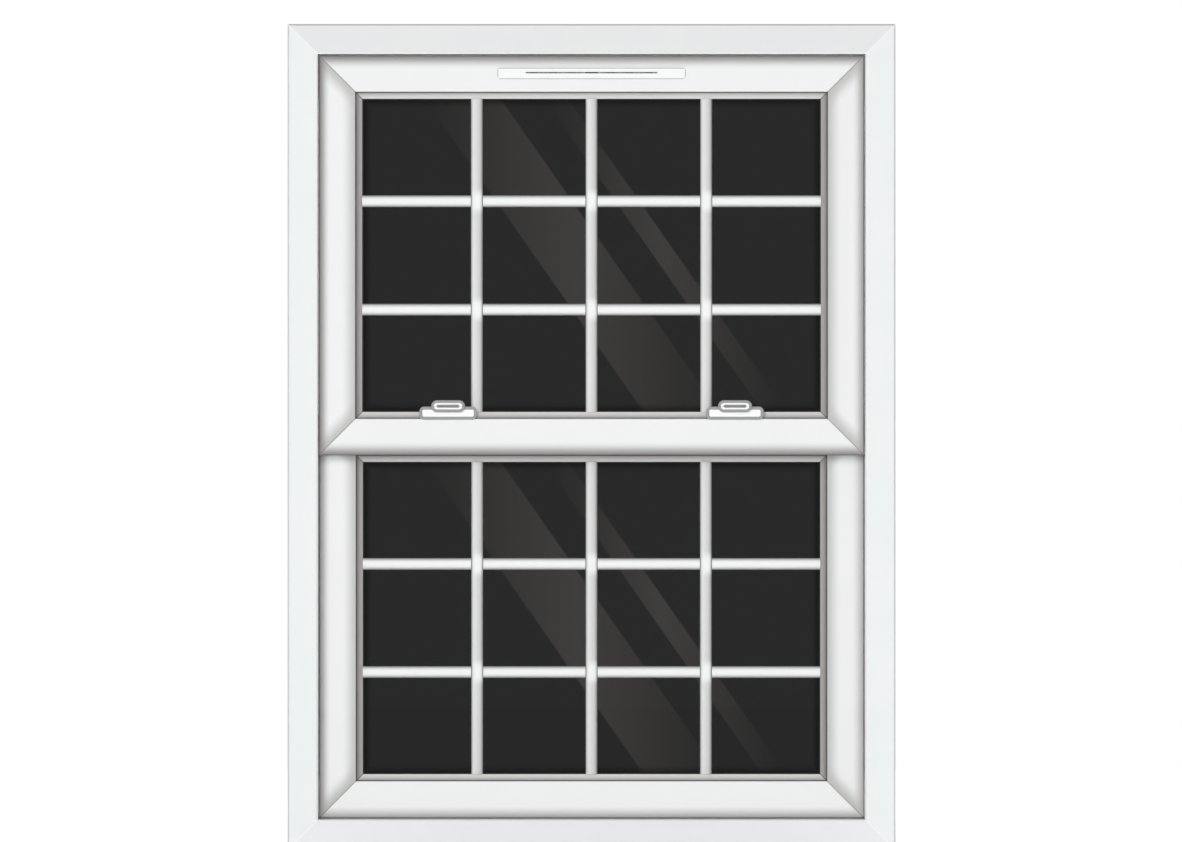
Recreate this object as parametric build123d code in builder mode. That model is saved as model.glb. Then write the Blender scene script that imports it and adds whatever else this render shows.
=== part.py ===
"""A white PVC-U sash window: a mitred frame and two vertically sliding, balanced sashes.

Millimetres, +Z up, +X to the right and +Y towards the outdoor side, seen from the room.
The origin is at the middle of the sill's underside.
"""

import os
from math import cos, radians

from build123d import *

os.makedirs("parts", exist_ok=True)

# Frame
frame_width = 912.0
frame_height = 1239.0
frame_face = 45.0
frame_chamfer = 2.0
outer_wall = 2.8
inner_wall = 2.0
channel_width = 22.0
channel_depth = 21.0
lip_height = 10.0
lip_thickness = 3.5
lip_setback = 13.0
lip_slope = 4.0
weather_seal_space = 4.0
weather_seal_edge = 1.5
drain_width = 28.0
drain_height = 5.0
drain_inset = 150.0

# Sashes
sash_face = 55.0
upper_sash_recess = 9.5
sash_spacing = 5.0
sash_gap = 1.5
travel_reserve = 45.5
edge_round_width = 16.0
edge_round_depth = 9.0
edge_wall_allowance = 2.0
rear_arris = 1.0
rebate_drop = 7.0
nib_thickness = 3.5
nib_round = 2.0
bead_width = 10.0
bead_step = 0.4
bead_wall = 2.2
bead_front_edge = 0.7
bead_top_edge = 2.0
bead_slope = 1.3
flange_thickness = 5.5
flange_bevel = 7.0
flange_edge = 2.0
hardware_groove_width = 14.0
hardware_groove_depth = 4.0
seal_groove_width = 4.6
seal_groove_depth = 3.0
seal_groove_inset = 11.6
seal_end_setback = 4.5
meeting_seal_rise = 4.0
meeting_seal_height = 6.0
hardware_chamber_height = 11.0
front_chamber_depth = 6.2

# Sealed glass units
pane_thickness = 4.0
pane_cavity = 12.0
glass_recess = 22.0
glass_edge_clearance = 5.0
gasket_thickness = 2.5
gasket_width = 7.5
gasket_setback = 0.3
spacer_inset = 3.0
spacer_height = 7.0
packer_length = 80.0
packer_inset = 1.0

# Glazing bars
bar_width = 18.0
bar_height = 8.0
bar_top_width = 6.0
bar_edge_height = 1.5
bar_roundness = 0.7
panes_across = 4
panes_up = 3

# Reinforcement
steel_thickness = 1.5
steel_clearance = 0.4
steel_end_setback = 12.0

# Guides and balances
guide_length = 60.0
guide_entry = 4.0
guide_clearance = 0.3
lower_guide_setback = 2.0
upper_guide_setback = 4.0
balance_tube_radius = 8.0
balance_tube_wall = 0.8
balance_rod_radius = 2.5
balance_engagement = 30.0
balance_arm_height = 8.0
balance_arm_wall = 3.5
balance_block_height = 20.0
balance_grip = 5.0
tube_floor_clearance = 0.5
tube_rise = 10.0
stop_length = 30.0
stop_setback = 0.4
stop_lip_gap = 0.2

# Screws and clearances
screw_radius = 2.0
screw_head_radius = 3.5
screw_head_depth = 1.5
joint_gap = 0.1
running_clearance = 0.3
cut_margin = 1.0

# Fixing holes in the jambs
fixing_hole_radius = 5.0
fixing_inset = 199.5

# Catches
catch_base_width = 86.0
catch_base_height = 19.5
catch_base_depth = 15.0
catch_base_proud = 2.5
catch_lip_drop = 1.5
catch_rim = 4.5
catch_corner = 7.0
catch_arris = 0.8
catch_screw_inset = 8.0
inlay_depth = 1.2
lever_length = 51.0
lever_height = 18.0
lever_thickness = 7.0
lever_centre_rise = 20.2
lever_rim = 3.0
lever_slot_length = 34.0
lever_slot_height = 4.6
lever_slot_depth = 4.0
lever_neck_width = 13.0
lever_neck_height = 4.0
spindle_radius = 3.0
spindle_inset = 6.75
cam_width = 7.0
cam_thickness = 3.0
cam_entry = 8.5
cam_slot_height = 5.6
cam_slot_margin = 6.0
cam_slot_end = 48.5
cam_seat = 1.0
keep_height = 12.0
keep_margin = 11.0
keep_thickness = 1.5
keep_corner = 3.0
keep_screw_inset = 5.0
keep_screw_length = 7.0
catch_screw_length = 28.0
spindle_tip_radius = 2.2
spindle_tip_length = 6.0
seat_rise = 2.7
seat_clearance = 0.2

# Trickle vent
vent_width = 282.0
vent_height = 16.5
vent_plate_thickness = 4.0
vent_corner_radius = 4.5
vent_slot_width = 202.0
vent_slot_height = 2.2
vent_slot_rise = 1.2
vent_rout_width = 250.0
vent_rout_height = 9.0
vent_window_count = 7
vent_arris = 0.8
vent_rout_clearance = 0.2
shutter_thickness = 1.5
shutter_travel = 12.0
hood_depth = 11.0
hood_wall = 1.5
hood_height = 18.0
hood_end = 10.0
hood_flat = 2.0
hood_slope_end = 4.5
vent_screw_length = 16.0
vent_rail_thickness = 0.8
vent_rail_hook = 0.8
vent_clip_width = 3.2
finger_width = 8.0
finger_setback = 0.6
finger_clearance = 0.4

# Places worked out from the sizes above
opening_width = frame_width - 2 * frame_face
opening_height = frame_height - 2 * frame_face
glass_back = glass_recess + 2 * pane_thickness + pane_cavity
flange_front = glass_back + gasket_thickness
sash_depth = flange_front + flange_thickness
track_depth = upper_sash_recess + 2 * sash_depth + sash_spacing
frame_depth = track_depth + weather_seal_space + lip_thickness + lip_setback
sash_width = opening_width - 2 * sash_gap
sash_height = (opening_height - 2 * sash_gap + sash_face) / 2
sash_travel = sash_height - sash_face - travel_reserve
front = -frame_depth / 2
upper_front = front + upper_sash_recess
lower_front = upper_front + sash_depth + sash_spacing
lower_bottom = frame_face + sash_gap
upper_bottom = lower_bottom + sash_height - sash_face
upper_top = upper_bottom + sash_height
lower_top = lower_bottom + sash_height
opening_top = frame_height - frame_face
sight = sash_face + bead_width
rebate = sash_face - rebate_drop
glass_edge = rebate + glass_edge_clearance
glass_width = sash_width - 2 * sight
glass_height = sash_height - 2 * sight
chamber_start = hardware_groove_depth + outer_wall
hardware_chamber_top = rebate - outer_wall
hardware_chamber_bottom = hardware_chamber_top - hardware_chamber_height
chamber_end = hardware_chamber_bottom - inner_wall
main_chamber_front = outer_wall + front_chamber_depth + inner_wall
front_wall = outer_wall + edge_wall_allowance
sash_middle = sash_depth / 2
upper_channel = upper_front + sash_middle
lower_channel = lower_front + sash_middle
channel_floor = frame_face - channel_depth
tube_u = channel_floor + tube_floor_clearance + balance_tube_radius
lip_front = front + track_depth + weather_seal_space
vent_z = upper_top - sash_face / 2
cam_z = upper_bottom + (hardware_chamber_top + hardware_chamber_bottom) / 2
spindle_y = upper_front + spindle_inset
catch_offset = glass_width / panes_across + catch_base_width / 2
spindle_x = catch_offset + (lever_length - lever_height) / 2
cam_reach = lower_front + cam_entry - spindle_y
catch_front = upper_front - catch_base_proud
catch_back = catch_front + catch_base_depth
catch_bottom = upper_bottom + sash_face - catch_lip_drop
catch_top = catch_bottom + catch_base_height
lever_front = catch_front - lever_thickness
lever_middle = catch_bottom + lever_centre_rise
lever_bottom = catch_top + running_clearance
tube_top = opening_top - balance_block_height / 2
tube_bottom = upper_bottom + balance_arm_height + tube_rise
drain_x = frame_width / 2 - drain_inset
drain_z = outer_wall + drain_height / 2
rail_top = upper_bottom + sash_face


def section_plane(side, width, bottom, height, y):
    """A member's section plane: local x runs in from the outer edge, and local y towards the outside."""
    middle = bottom + height / 2
    places = {
        "left": ((-width / 2, y, middle), (1, 0, 0), (0, 0, 1)),
        "right": ((width / 2, y, middle), (-1, 0, 0), (0, 0, -1)),
        "bottom": ((0, y, bottom), (0, 0, 1), (-1, 0, 0)),
        "top": ((0, y, bottom + height), (0, 0, -1), (1, 0, 0)),
    }
    origin, inward, along = places[side]
    return Plane(origin=origin, x_dir=inward, z_dir=along)


def mitred_member(section, side, width, bottom, height, y, gap=0.0):
    """One side of a mitred rectangle, with the given section and the gap left at each mitre."""
    plane = section_plane(side, width, bottom, height, y)
    length = height if side in ("left", "right") else width
    with BuildPart() as member:
        with BuildSketch(plane):
            add(section)
        extrude(amount=length / 2, both=True)
        for end in (-1, 1):
            corner = plane.origin + plane.z_dir * (end * (length / 2 - gap))
            mitre = Plane(origin=corner, z_dir=plane.x_dir + plane.z_dir * end)
            split(bisect_by=mitre, keep=Keep.BOTTOM)
    return member.part


def mitred_ring(section, width, bottom, height, y, gap=0.0):
    """The four mitred sides of a rectangle, which stay separate where a gap is given."""
    return [
        mitred_member(section, side, width, bottom, height, y, gap)
        for side in ("left", "right", "bottom", "top")
    ]


def square_member(section, side, width, bottom, height, y, setback):
    """A straight length with square ends, set back from the outer corners."""
    plane = section_plane(side, width, bottom, height, y)
    length = (height if side in ("left", "right") else width) - 2 * setback
    with BuildPart() as member:
        with BuildSketch(plane):
            add(section)
        extrude(amount=length / 2, both=True)
    return member.part


def chambers(boxes):
    """Cuts rectangular chambers, each given as its x range and its y range, from the sketch."""
    for x0, x1, y0, y1 in boxes:
        with Locations(((x0 + x1) / 2, (y0 + y1) / 2)):
            Rectangle(x1 - x0, y1 - y0, mode=Mode.SUBTRACT)


def frame_section(with_channels):
    """The frame's hollow section with its rear lip, with or without the balance channels."""
    half = frame_depth / 2
    near_wall = upper_channel - channel_width / 2
    near_end = upper_channel + channel_width / 2
    far_wall = lower_channel - channel_width / 2
    far_end = lower_channel + channel_width / 2
    top = frame_face - outer_wall
    behind = channel_floor - outer_wall if with_channels else top
    with BuildSketch() as sketch:
        with BuildLine():
            Polyline(
                (frame_chamfer, -half),
                (frame_face - frame_chamfer, -half),
                (frame_face, -half + frame_chamfer),
                (frame_face, lip_front),
                (frame_face + lip_height, lip_front),
                (frame_face + lip_height, lip_front + lip_thickness),
                (frame_face, lip_front + lip_thickness + lip_slope),
                (frame_face, half - frame_chamfer),
                (frame_face - frame_chamfer, half),
                (frame_chamfer, half),
                (0, half - frame_chamfer),
                (0, -half + frame_chamfer),
                close=True,
            )
        make_face()
        chambers(
            [
                (outer_wall, top, -half + outer_wall, near_wall - outer_wall),
                (outer_wall, behind, near_wall, near_end),
                (outer_wall, top, near_end + outer_wall, far_wall - outer_wall),
                (outer_wall, behind, far_wall, far_end),
                (outer_wall, top, far_end + outer_wall, half - outer_wall),
            ]
        )
        if with_channels:
            for middle in (upper_channel, lower_channel):
                with Locations((frame_face - channel_depth / 2, middle)):
                    Rectangle(channel_depth, channel_width, mode=Mode.SUBTRACT)
    return sketch.sketch


def sash_section():
    """A sash member's hollow section: rounded outer edge, grooves, glazing rebate and rear flange."""
    with BuildSketch() as sketch:
        with BuildLine():
            edge = TangentArc(
                (edge_round_width, 0), (0, edge_round_depth), tangent=(-1, 0)
            )
            Polyline(
                edge @ 1,
                (0, sash_depth - rear_arris),
                (rear_arris, sash_depth),
                (sight - flange_bevel, sash_depth),
                (sight, flange_front + flange_edge),
                (sight, flange_front),
                (rebate, flange_front),
                (rebate, nib_thickness),
                (sash_face, nib_thickness),
                (sash_face, nib_round),
            )
            nib = TangentArc(
                (sash_face, nib_round), (sash_face - nib_round, 0), tangent=(0, -1)
            )
            Line(nib @ 1, edge @ 0)
        make_face()
        rear = sash_depth - outer_wall - front_chamber_depth
        chambers(
            [
                (
                    chamber_start,
                    chamber_end,
                    front_wall,
                    main_chamber_front - inner_wall,
                ),
                (chamber_start, chamber_end, main_chamber_front, rear - inner_wall),
                (chamber_start, chamber_end, rear, sash_depth - outer_wall),
                (
                    hardware_chamber_bottom,
                    hardware_chamber_top,
                    outer_wall,
                    sash_depth - outer_wall,
                ),
                (
                    -cut_margin,
                    hardware_groove_depth,
                    sash_middle - hardware_groove_width / 2,
                    sash_middle + hardware_groove_width / 2,
                ),
            ]
        )
        for inset in (seal_groove_inset, sash_depth - seal_groove_inset):
            with Locations((seal_groove_depth / 2, inset)):
                Rectangle(seal_groove_depth, seal_groove_width, mode=Mode.SUBTRACT)
    return sketch.sketch


def bead_section():
    """The hollow clip-in glazing bead, with its hollowed face."""
    back = glass_recess - gasket_thickness
    foot = sash_face + bead_step
    rise = (sight - foot) * (1 - cos(radians(45)))
    middle = (foot + rise, back - bead_top_edge - rise * bead_slope)
    with BuildSketch() as sketch:
        with BuildLine():
            edge = Polyline(
                (foot, nib_thickness + bead_front_edge),
                (foot, nib_thickness),
                (rebate, nib_thickness),
                (rebate, back),
                (sight, back),
                (sight, back - bead_top_edge),
            )
            ThreePointArc(edge @ 1, middle, edge @ 0)
        make_face()
        with BuildLine():
            Polyline(
                (rebate + bead_wall, nib_thickness + bead_wall),
                (foot - bead_wall, nib_thickness + bead_wall),
                (middle[0] - bead_wall, middle[1]),
                (middle[0] - bead_wall, back - bead_wall),
                (rebate + bead_wall, back - bead_wall),
                close=True,
            )
        make_face(mode=Mode.SUBTRACT)
    return sketch.sketch


def block_section(x0, x1, y0, y1):
    """A rectangular section between two places along each axis."""
    with BuildSketch() as sketch:
        with Locations(((x0 + x1) / 2, (y0 + y1) / 2)):
            Rectangle(x1 - x0, y1 - y0)
    return sketch.sketch


def steel_section(x0, x1, y0, y1):
    """A folded steel channel that fills a chamber, open towards the outer edge."""
    with BuildSketch() as sketch:
        with Locations(((x0 + x1) / 2, (y0 + y1) / 2)):
            Rectangle(x1 - x0, y1 - y0)
        chambers([(x0 - cut_margin, x1 - steel_thickness, y0 + steel_thickness, y1 - steel_thickness)])
    return sketch.sketch


def block(x0, x1, y0, y1, z0, z1):
    """A rectangular solid between two places along each axis."""
    with BuildPart() as solid:
        with BuildSketch(Plane.XY.offset(z0)):
            with Locations(((x0 + x1) / 2, (y0 + y1) / 2)):
                Rectangle(x1 - x0, y1 - y0)
        extrude(amount=z1 - z0)
    return solid.part


def upright(x, y, z0, z1, radius, bore=0.0):
    """A vertical rod, or a tube where it has a bore."""
    with BuildPart() as solid:
        with BuildSketch(Plane.XY.offset(z0)):
            with Locations((x, y)):
                Circle(radius)
                if bore:
                    Circle(bore, mode=Mode.SUBTRACT)
        extrude(amount=z1 - z0)
    return solid.part


def screw(place, direction, length):
    """A countersunk screw whose head lies flush at the given place."""
    from_head = (Align.CENTER, Align.CENTER, Align.MIN)
    with BuildPart() as solid:
        with Locations(Plane(origin=place, z_dir=direction)):
            Cylinder(screw_radius, length, align=from_head)
            Cone(screw_head_radius, screw_radius, screw_head_depth, align=from_head)
    return solid.part


def collect(solids):
    """Several separate solids in one builder."""
    with BuildPart() as group:
        for solid in solids:
            add(solid)
    return group


def write(piece, name):
    """Labels a finished piece and writes its file."""
    piece.part.label = name
    export_step(piece.part, f"parts/{name}.step")


# Balance places, shared by the jambs
tube_x = frame_width / 2 - tube_u
balances = [(side, y) for side in (-1, 1) for y in (upper_channel, lower_channel)]
block_outer = frame_width / 2 - channel_floor
block_inner = tube_x - balance_grip
block_half = channel_width / 2 - guide_clearance / 2
block_bottom = tube_top - balance_block_height / 2
screw_z = tube_top + balance_block_height / 4
balance_screws = collect(
    [
        screw((side * block_inner, y, screw_z), (side, 0, 0), channel_depth)
        for side, y in balances
    ]
)
write(balance_screws, "balance_screws")

# Frame members
plain_section = frame_section(with_channels=False)
jamb_section = frame_section(with_channels=True)

with BuildPart() as frame_head:
    add(mitred_member(plain_section, "top", frame_width, 0, frame_height, 0))
write(frame_head, "frame_head")

with BuildPart() as frame_sill:
    add(mitred_member(plain_section, "bottom", frame_width, 0, frame_height, 0))
    with BuildSketch(Plane(origin=(0, -front, drain_z), x_dir=(1, 0, 0), z_dir=(0, -1, 0))):
        with Locations((-drain_x, 0), (0, 0), (drain_x, 0)):
            SlotOverall(drain_width, drain_height)
    extrude(amount=outer_wall, mode=Mode.SUBTRACT)
write(frame_sill, "frame_sill")

fixing_y = (upper_channel + lower_channel) / 2
fixing_heights = [fixing_inset, frame_height - fixing_inset]


def fixing_bores(side):
    """The two bores that take a jamb's fixings, square to its face."""
    outer = side * frame_width / 2
    with BuildPart() as bores:
        for z in fixing_heights:
            with BuildSketch(Plane(origin=(outer, fixing_y, z), z_dir=(-side, 0, 0))):
                Circle(fixing_hole_radius)
            extrude(amount=frame_face)
    return bores


with BuildPart() as frame_left_jamb:
    add(mitred_member(jamb_section, "left", frame_width, 0, frame_height, 0))
    add(fixing_bores(-1).part, mode=Mode.SUBTRACT)
    add(balance_screws.part, mode=Mode.SUBTRACT)
write(frame_left_jamb, "frame_left_jamb")

with BuildPart() as frame_right_jamb:
    add(mitred_member(jamb_section, "right", frame_width, 0, frame_height, 0))
    add(fixing_bores(1).part, mode=Mode.SUBTRACT)
    add(balance_screws.part, mode=Mode.SUBTRACT)
write(frame_right_jamb, "frame_right_jamb")

# Frame reinforcement
frame_steel = steel_section(
    outer_wall + steel_clearance,
    frame_face - outer_wall - steel_clearance,
    upper_channel + channel_width / 2 + outer_wall + steel_clearance,
    lower_channel - channel_width / 2 - outer_wall - steel_clearance,
)
with BuildPart() as frame_reinforcements:
    for side in ("left", "right", "bottom", "top"):
        add(
            square_member(
                frame_steel, side, frame_width, 0, frame_height, 0, frame_face + steel_end_setback
            )
        )
    for side in (-1, 1):
        add(fixing_bores(side).part, mode=Mode.SUBTRACT)
write(frame_reinforcements, "frame_reinforcements")

# Weather seal on the rear lip
with BuildPart() as frame_weather_seal:
    seal_section = block_section(
        frame_face + weather_seal_edge,
        frame_face + lip_height - weather_seal_edge,
        lower_front + sash_depth + running_clearance,
        lip_front,
    )
    for seal in mitred_ring(seal_section, frame_width, 0, frame_height, 0):
        add(seal)
write(frame_weather_seal, "frame_weather_seal")

# Balances in the jamb channels
with BuildPart() as balance_tubes:
    for side, y in balances:
        add(
            upright(
                side * tube_x,
                y,
                tube_bottom,
                tube_top,
                balance_tube_radius,
                balance_tube_radius - balance_tube_wall,
            )
        )
write(balance_tubes, "balance_tubes")

with BuildPart() as balance_bushes:
    for side, y in balances:
        add(
            upright(
                side * tube_x,
                y,
                tube_bottom,
                tube_bottom + balance_block_height,
                balance_tube_radius - balance_tube_wall,
                balance_rod_radius + running_clearance,
            )
        )
write(balance_bushes, "balance_bushes")

with BuildPart() as balance_blocks:
    for side, y in balances:
        ends = sorted((side * block_inner, side * block_outer))
        add(block(*ends, y - block_half, y + block_half, block_bottom, opening_top))
    for side, y in balances:
        add(
            upright(side * tube_x, y, block_bottom, tube_top, balance_tube_radius),
            mode=Mode.SUBTRACT,
        )
    add(balance_screws.part, mode=Mode.SUBTRACT)
write(balance_blocks, "balance_blocks")

# Travel stops
upper_stop_top = upper_bottom + lower_guide_setback - sash_travel - running_clearance
lower_stop_bottom = lower_top - upper_guide_setback + sash_travel + running_clearance
stop_places = [(upper_channel, upper_stop_top - stop_length), (lower_channel, lower_stop_bottom)]
stop_inner = frame_width / 2 - frame_face + stop_setback
stop_bore_half = balance_tube_radius + stop_setback
with BuildPart() as travel_stops:
    for side in (-1, 1):
        for y, z in stop_places:
            ends = sorted((side * stop_inner, side * block_outer))
            add(block(*ends, y - block_half, y + block_half, z, z + stop_length))
    for side in (-1, 1):
        for y, z in stop_places:
            cut_inner = stop_inner + guide_entry - stop_lip_gap
            ends = sorted((side * cut_inner, side * block_outer))
            y0, y1 = y - stop_bore_half, y + stop_bore_half
            add(block(*ends, y0, y1, z, z + stop_length), mode=Mode.SUBTRACT)
write(travel_stops, "travel_stops")


# Sashes
profile = sash_section()
bead_profile = bead_section()
sash_steel = steel_section(
    chamber_start + steel_clearance,
    chamber_end - steel_clearance,
    main_chamber_front + steel_clearance,
    sash_depth - outer_wall - front_chamber_depth - inner_wall - steel_clearance,
)


def sash_member(side, bottom, y):
    """One mitred member of a sash."""
    return mitred_member(profile, side, sash_width, bottom, sash_height, y)


def glass_pane(bottom, y):
    """One pane of a sealed unit."""
    x = sash_width / 2 - glass_edge
    z0, z1 = bottom + glass_edge, bottom + sash_height - glass_edge
    return collect([block(-x, x, y, y + pane_thickness, z0, z1)])


def sash_ring(section, bottom, y, gap=0.0):
    """A strip around a sash's glass: one bent strip, or four mitred ones where a gap is given."""
    return collect(mitred_ring(section, sash_width, bottom, sash_height, y, gap))


def spacer_bar(bottom, y):
    """The bent spacer bar between the panes, in one piece."""
    outer = glass_edge + spacer_inset
    inner = outer + spacer_height
    middle = (0, y + glass_recess + pane_thickness, bottom + sash_height / 2)
    with BuildPart() as spacer:
        with BuildSketch(Plane(origin=middle, x_dir=(1, 0, 0), z_dir=(0, 1, 0))):
            RectangleRounded(sash_width - 2 * outer, sash_height - 2 * outer, spacer_inset)
            Rectangle(sash_width - 2 * inner, sash_height - 2 * inner, mode=Mode.SUBTRACT)
        extrude(amount=pane_cavity)
    return spacer


def glazing_packers(bottom, y):
    """Packers between the glass edge and the rebate floor, two along each rail and one on each stile."""
    y0, y1 = y + glass_recess + packer_inset, y + glass_back - packer_inset
    x_floor, x_glass = sash_width / 2 - rebate, sash_width / 2 - glass_edge
    top = bottom + sash_height
    middle = bottom + sash_height / 2
    solids = []
    for side in (-1, 1):
        x = side * glass_width / 6
        ends = (x - packer_length / 2, x + packer_length / 2)
        solids.append(block(*ends, y0, y1, bottom + rebate, bottom + glass_edge))
        solids.append(block(*ends, y0, y1, top - glass_edge, top - rebate))
        ends = sorted((side * x_floor, side * x_glass))
        solids.append(block(*ends, y0, y1, middle - packer_length / 2, middle + packer_length / 2))
    return collect(solids)


def bar_section():
    """A glazing bar's rounded section, flat on the glass at y = 0."""
    half, flat = bar_width / 2, bar_top_width / 2
    middle_x = flat + (half - flat) * bar_roundness
    middle_y = bar_edge_height + (bar_height - bar_edge_height) * bar_roundness
    with BuildSketch() as sketch:
        with BuildLine():
            Line((-half, 0), (half, 0))
            Line((half, 0), (half, bar_edge_height))
            ThreePointArc((half, bar_edge_height), (middle_x, middle_y), (flat, bar_height))
            Line((flat, bar_height), (-flat, bar_height))
            ThreePointArc((-flat, bar_height), (-middle_x, middle_y), (-half, bar_edge_height))
            Line((-half, bar_edge_height), (-half, 0))
        make_face()
    return sketch.sketch


def glazing_bars(bottom, y, outward):
    """The bars on one face of the glass: whole uprights, and cross bars cut to butt against them.

    The uprights stand at equal spacings, and the cross bars leave panes of equal clear height.
    """
    section = bar_section()
    low = bottom + sight
    pitch_x = glass_width / panes_across
    pitch_z = (glass_height + bar_width) / panes_up
    solids = []
    for column in range(1, panes_across):
        x = -glass_width / 2 + column * pitch_x
        plane = Plane(origin=(x, y, low), x_dir=(outward, 0, 0), z_dir=(0, 0, 1))
        with BuildPart() as bar:
            with BuildSketch(plane):
                add(section)
            extrude(amount=glass_height)
        solids.append(bar.part)
    for row in range(1, panes_up):
        z = low + row * pitch_z - bar_width / 2
        for column in range(panes_across):
            butt = bar_width / 2 + joint_gap
            start = -glass_width / 2 + column * pitch_x + (butt if column else 0)
            end = -glass_width / 2 + (column + 1) * pitch_x
            end -= butt if column < panes_across - 1 else 0
            plane = Plane(origin=(start, y, z), x_dir=(0, 0, -outward), z_dir=(1, 0, 0))
            with BuildPart() as bar:
                with BuildSketch(plane):
                    add(section)
                extrude(amount=end - start)
            solids.append(bar.part)
    return collect(solids)


def guide_shoes(bottom, y):
    """Four nylon guides in the stile grooves. The lower pair carry the arms that hold the rods."""
    middle = y + sash_middle
    head_half = channel_width / 2 - guide_clearance
    stem_half = hardware_groove_width / 2 - guide_clearance / 2
    arm_half = balance_rod_radius + balance_arm_wall
    edge = sash_width / 2
    solids = []
    for side in (-1, 1):
        upper_end = bottom + sash_height - upper_guide_setback - guide_length
        for z, has_arm in ((bottom + lower_guide_setback, True), (upper_end, False)):
            head = sorted((side * edge, side * (edge + sash_gap + guide_entry)))
            stem = sorted((side * (edge - hardware_groove_depth + guide_clearance), side * edge))
            with BuildPart() as shoe:
                add(block(*head, middle - head_half, middle + head_half, z, z + guide_length))
                add(block(*stem, middle - stem_half, middle + stem_half, z, z + guide_length))
                if has_arm:
                    arm = sorted((side * edge, side * (tube_x + arm_half)))
                    top = z + balance_arm_height
                    add(block(*arm, middle - arm_half, middle + arm_half, z, top))
                    add(
                        upright(side * tube_x, middle, z, top, balance_rod_radius),
                        mode=Mode.SUBTRACT,
                    )
            solids.append(shoe.part)
    return collect(solids)


def balance_rods(bottom, y, length):
    """The rods that run up from the arms into the balance tubes."""
    foot = bottom + lower_guide_setback
    return collect(
        [
            upright(side * tube_x, y + sash_middle, foot, foot + length, balance_rod_radius)
            for side in (-1, 1)
        ]
    )


def edge_seals(bottom, y):
    """Pile strips in the grooves of the stiles, between the guides."""
    solids = []
    x0 = sash_width / 2 - seal_groove_depth
    x1 = sash_width / 2 + sash_gap - running_clearance
    half = seal_groove_width / 2
    for side in (-1, 1):
        ends = sorted((side * x0, side * x1))
        for inset in (seal_groove_inset, sash_depth - seal_groove_inset):
            z0, z1 = bottom + seal_end_setback, bottom + sash_height - seal_end_setback
            solids.append(block(*ends, y + inset - half, y + inset + half, z0, z1))
    return collect(solids)


# Catch places, shared by the upper sash, the keeps and the lower sash
keep_centre = spindle_x + (cam_slot_end - cam_slot_margin) / 2
keep_half = (cam_slot_end + cam_slot_margin) / 2 + keep_margin
keep_screw_places = [
    (side * (keep_centre + end * (keep_half - keep_screw_inset)), lower_front - keep_thickness, cam_z)
    for side in (-1, 1)
    for end in (-1, 1)
]
keep_screws = [screw(place, (0, 1, 0), keep_screw_length) for place in keep_screw_places]


def cam_slots(y0, y1):
    """Blocks that cut the slots which the locking cams swing through."""
    half = cam_slot_height / 2
    solids = []
    for side in (-1, 1):
        near, far = side * (spindle_x - cam_slot_margin), side * (spindle_x + cam_slot_end)
        ends = sorted((near, far))
        solids.append(block(*ends, y0, y1, cam_z - half, cam_z + half))
    return collect(solids)


catch_screw_places = [
    (side * (catch_offset + end * (catch_base_width / 2 - catch_screw_inset)), spindle_y)
    for side in (-1, 1)
    for end in (-1, 1)
]


def catch_holes(clearance):
    """Vertical bores for the spindles and the catch screws."""
    solids = [
        upright(side * spindle_x, spindle_y, cam_z, catch_top, spindle_radius + clearance)
        for side in (-1, 1)
    ]
    for x, y in catch_screw_places:
        solids.append(upright(x, y, cam_z, catch_top, screw_radius))
    return collect(solids)


# Upper sash
sash_back = upper_front + sash_depth
vent_rout = block(
    -vent_rout_width / 2,
    vent_rout_width / 2,
    upper_front - cut_margin,
    sash_back + cut_margin,
    vent_z - vent_rout_height / 2,
    vent_z + vent_rout_height / 2,
)
rear_wall = sash_back - outer_wall
vent_screws = collect(
    [
        screw(
            (side * (vent_width - hood_end) / 2, sash_back + hood_depth, vent_z),
            (0, -1, 0),
            vent_screw_length,
        )
        for side in (-1, 1)
    ]
)
write(vent_screws, "vent_screws")

with BuildPart() as upper_top_rail:
    add(sash_member("top", upper_bottom, upper_front))
    add(vent_rout, mode=Mode.SUBTRACT)
    add(vent_screws.part, mode=Mode.SUBTRACT)
write(upper_top_rail, "upper_top_rail")

with BuildPart() as upper_left_stile:
    add(sash_member("left", upper_bottom, upper_front))
write(upper_left_stile, "upper_left_stile")

with BuildPart() as upper_right_stile:
    add(sash_member("right", upper_bottom, upper_front))
write(upper_right_stile, "upper_right_stile")

with BuildPart() as upper_bottom_rail:
    add(sash_member("bottom", upper_bottom, upper_front))
    add(catch_holes(running_clearance).part, mode=Mode.SUBTRACT)
    add(cam_slots(rear_wall, sash_back + cut_margin).part, mode=Mode.SUBTRACT)
write(upper_bottom_rail, "upper_bottom_rail")


def sash_reinforcements(bottom, y):
    """The folded steel channels in a sash's four main chambers."""
    return collect(
        [
            square_member(
                sash_steel, side, sash_width, bottom, sash_height, y, sash_face + steel_end_setback
            )
            for side in ("left", "right", "bottom", "top")
        ]
    )


with BuildPart() as upper_reinforcements:
    add(sash_reinforcements(upper_bottom, upper_front).part)
    add(vent_rout, mode=Mode.SUBTRACT)
write(upper_reinforcements, "upper_reinforcements")

with BuildPart() as upper_glazing_beads:
    add(sash_ring(bead_profile, upper_bottom, upper_front, joint_gap).part)
    add(catch_holes(running_clearance).part, mode=Mode.SUBTRACT)
write(upper_glazing_beads, "upper_glazing_beads")

with BuildPart() as lower_glazing_beads:
    add(sash_ring(bead_profile, lower_bottom, lower_front, joint_gap).part)
write(lower_glazing_beads, "lower_glazing_beads")

gasket_end = sight - gasket_setback
bead_gasket = block_section(
    gasket_end - gasket_width, gasket_end, glass_recess - gasket_thickness, glass_recess
)
rear_gasket = block_section(gasket_end - gasket_width, gasket_end, glass_back, flange_front)

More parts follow.
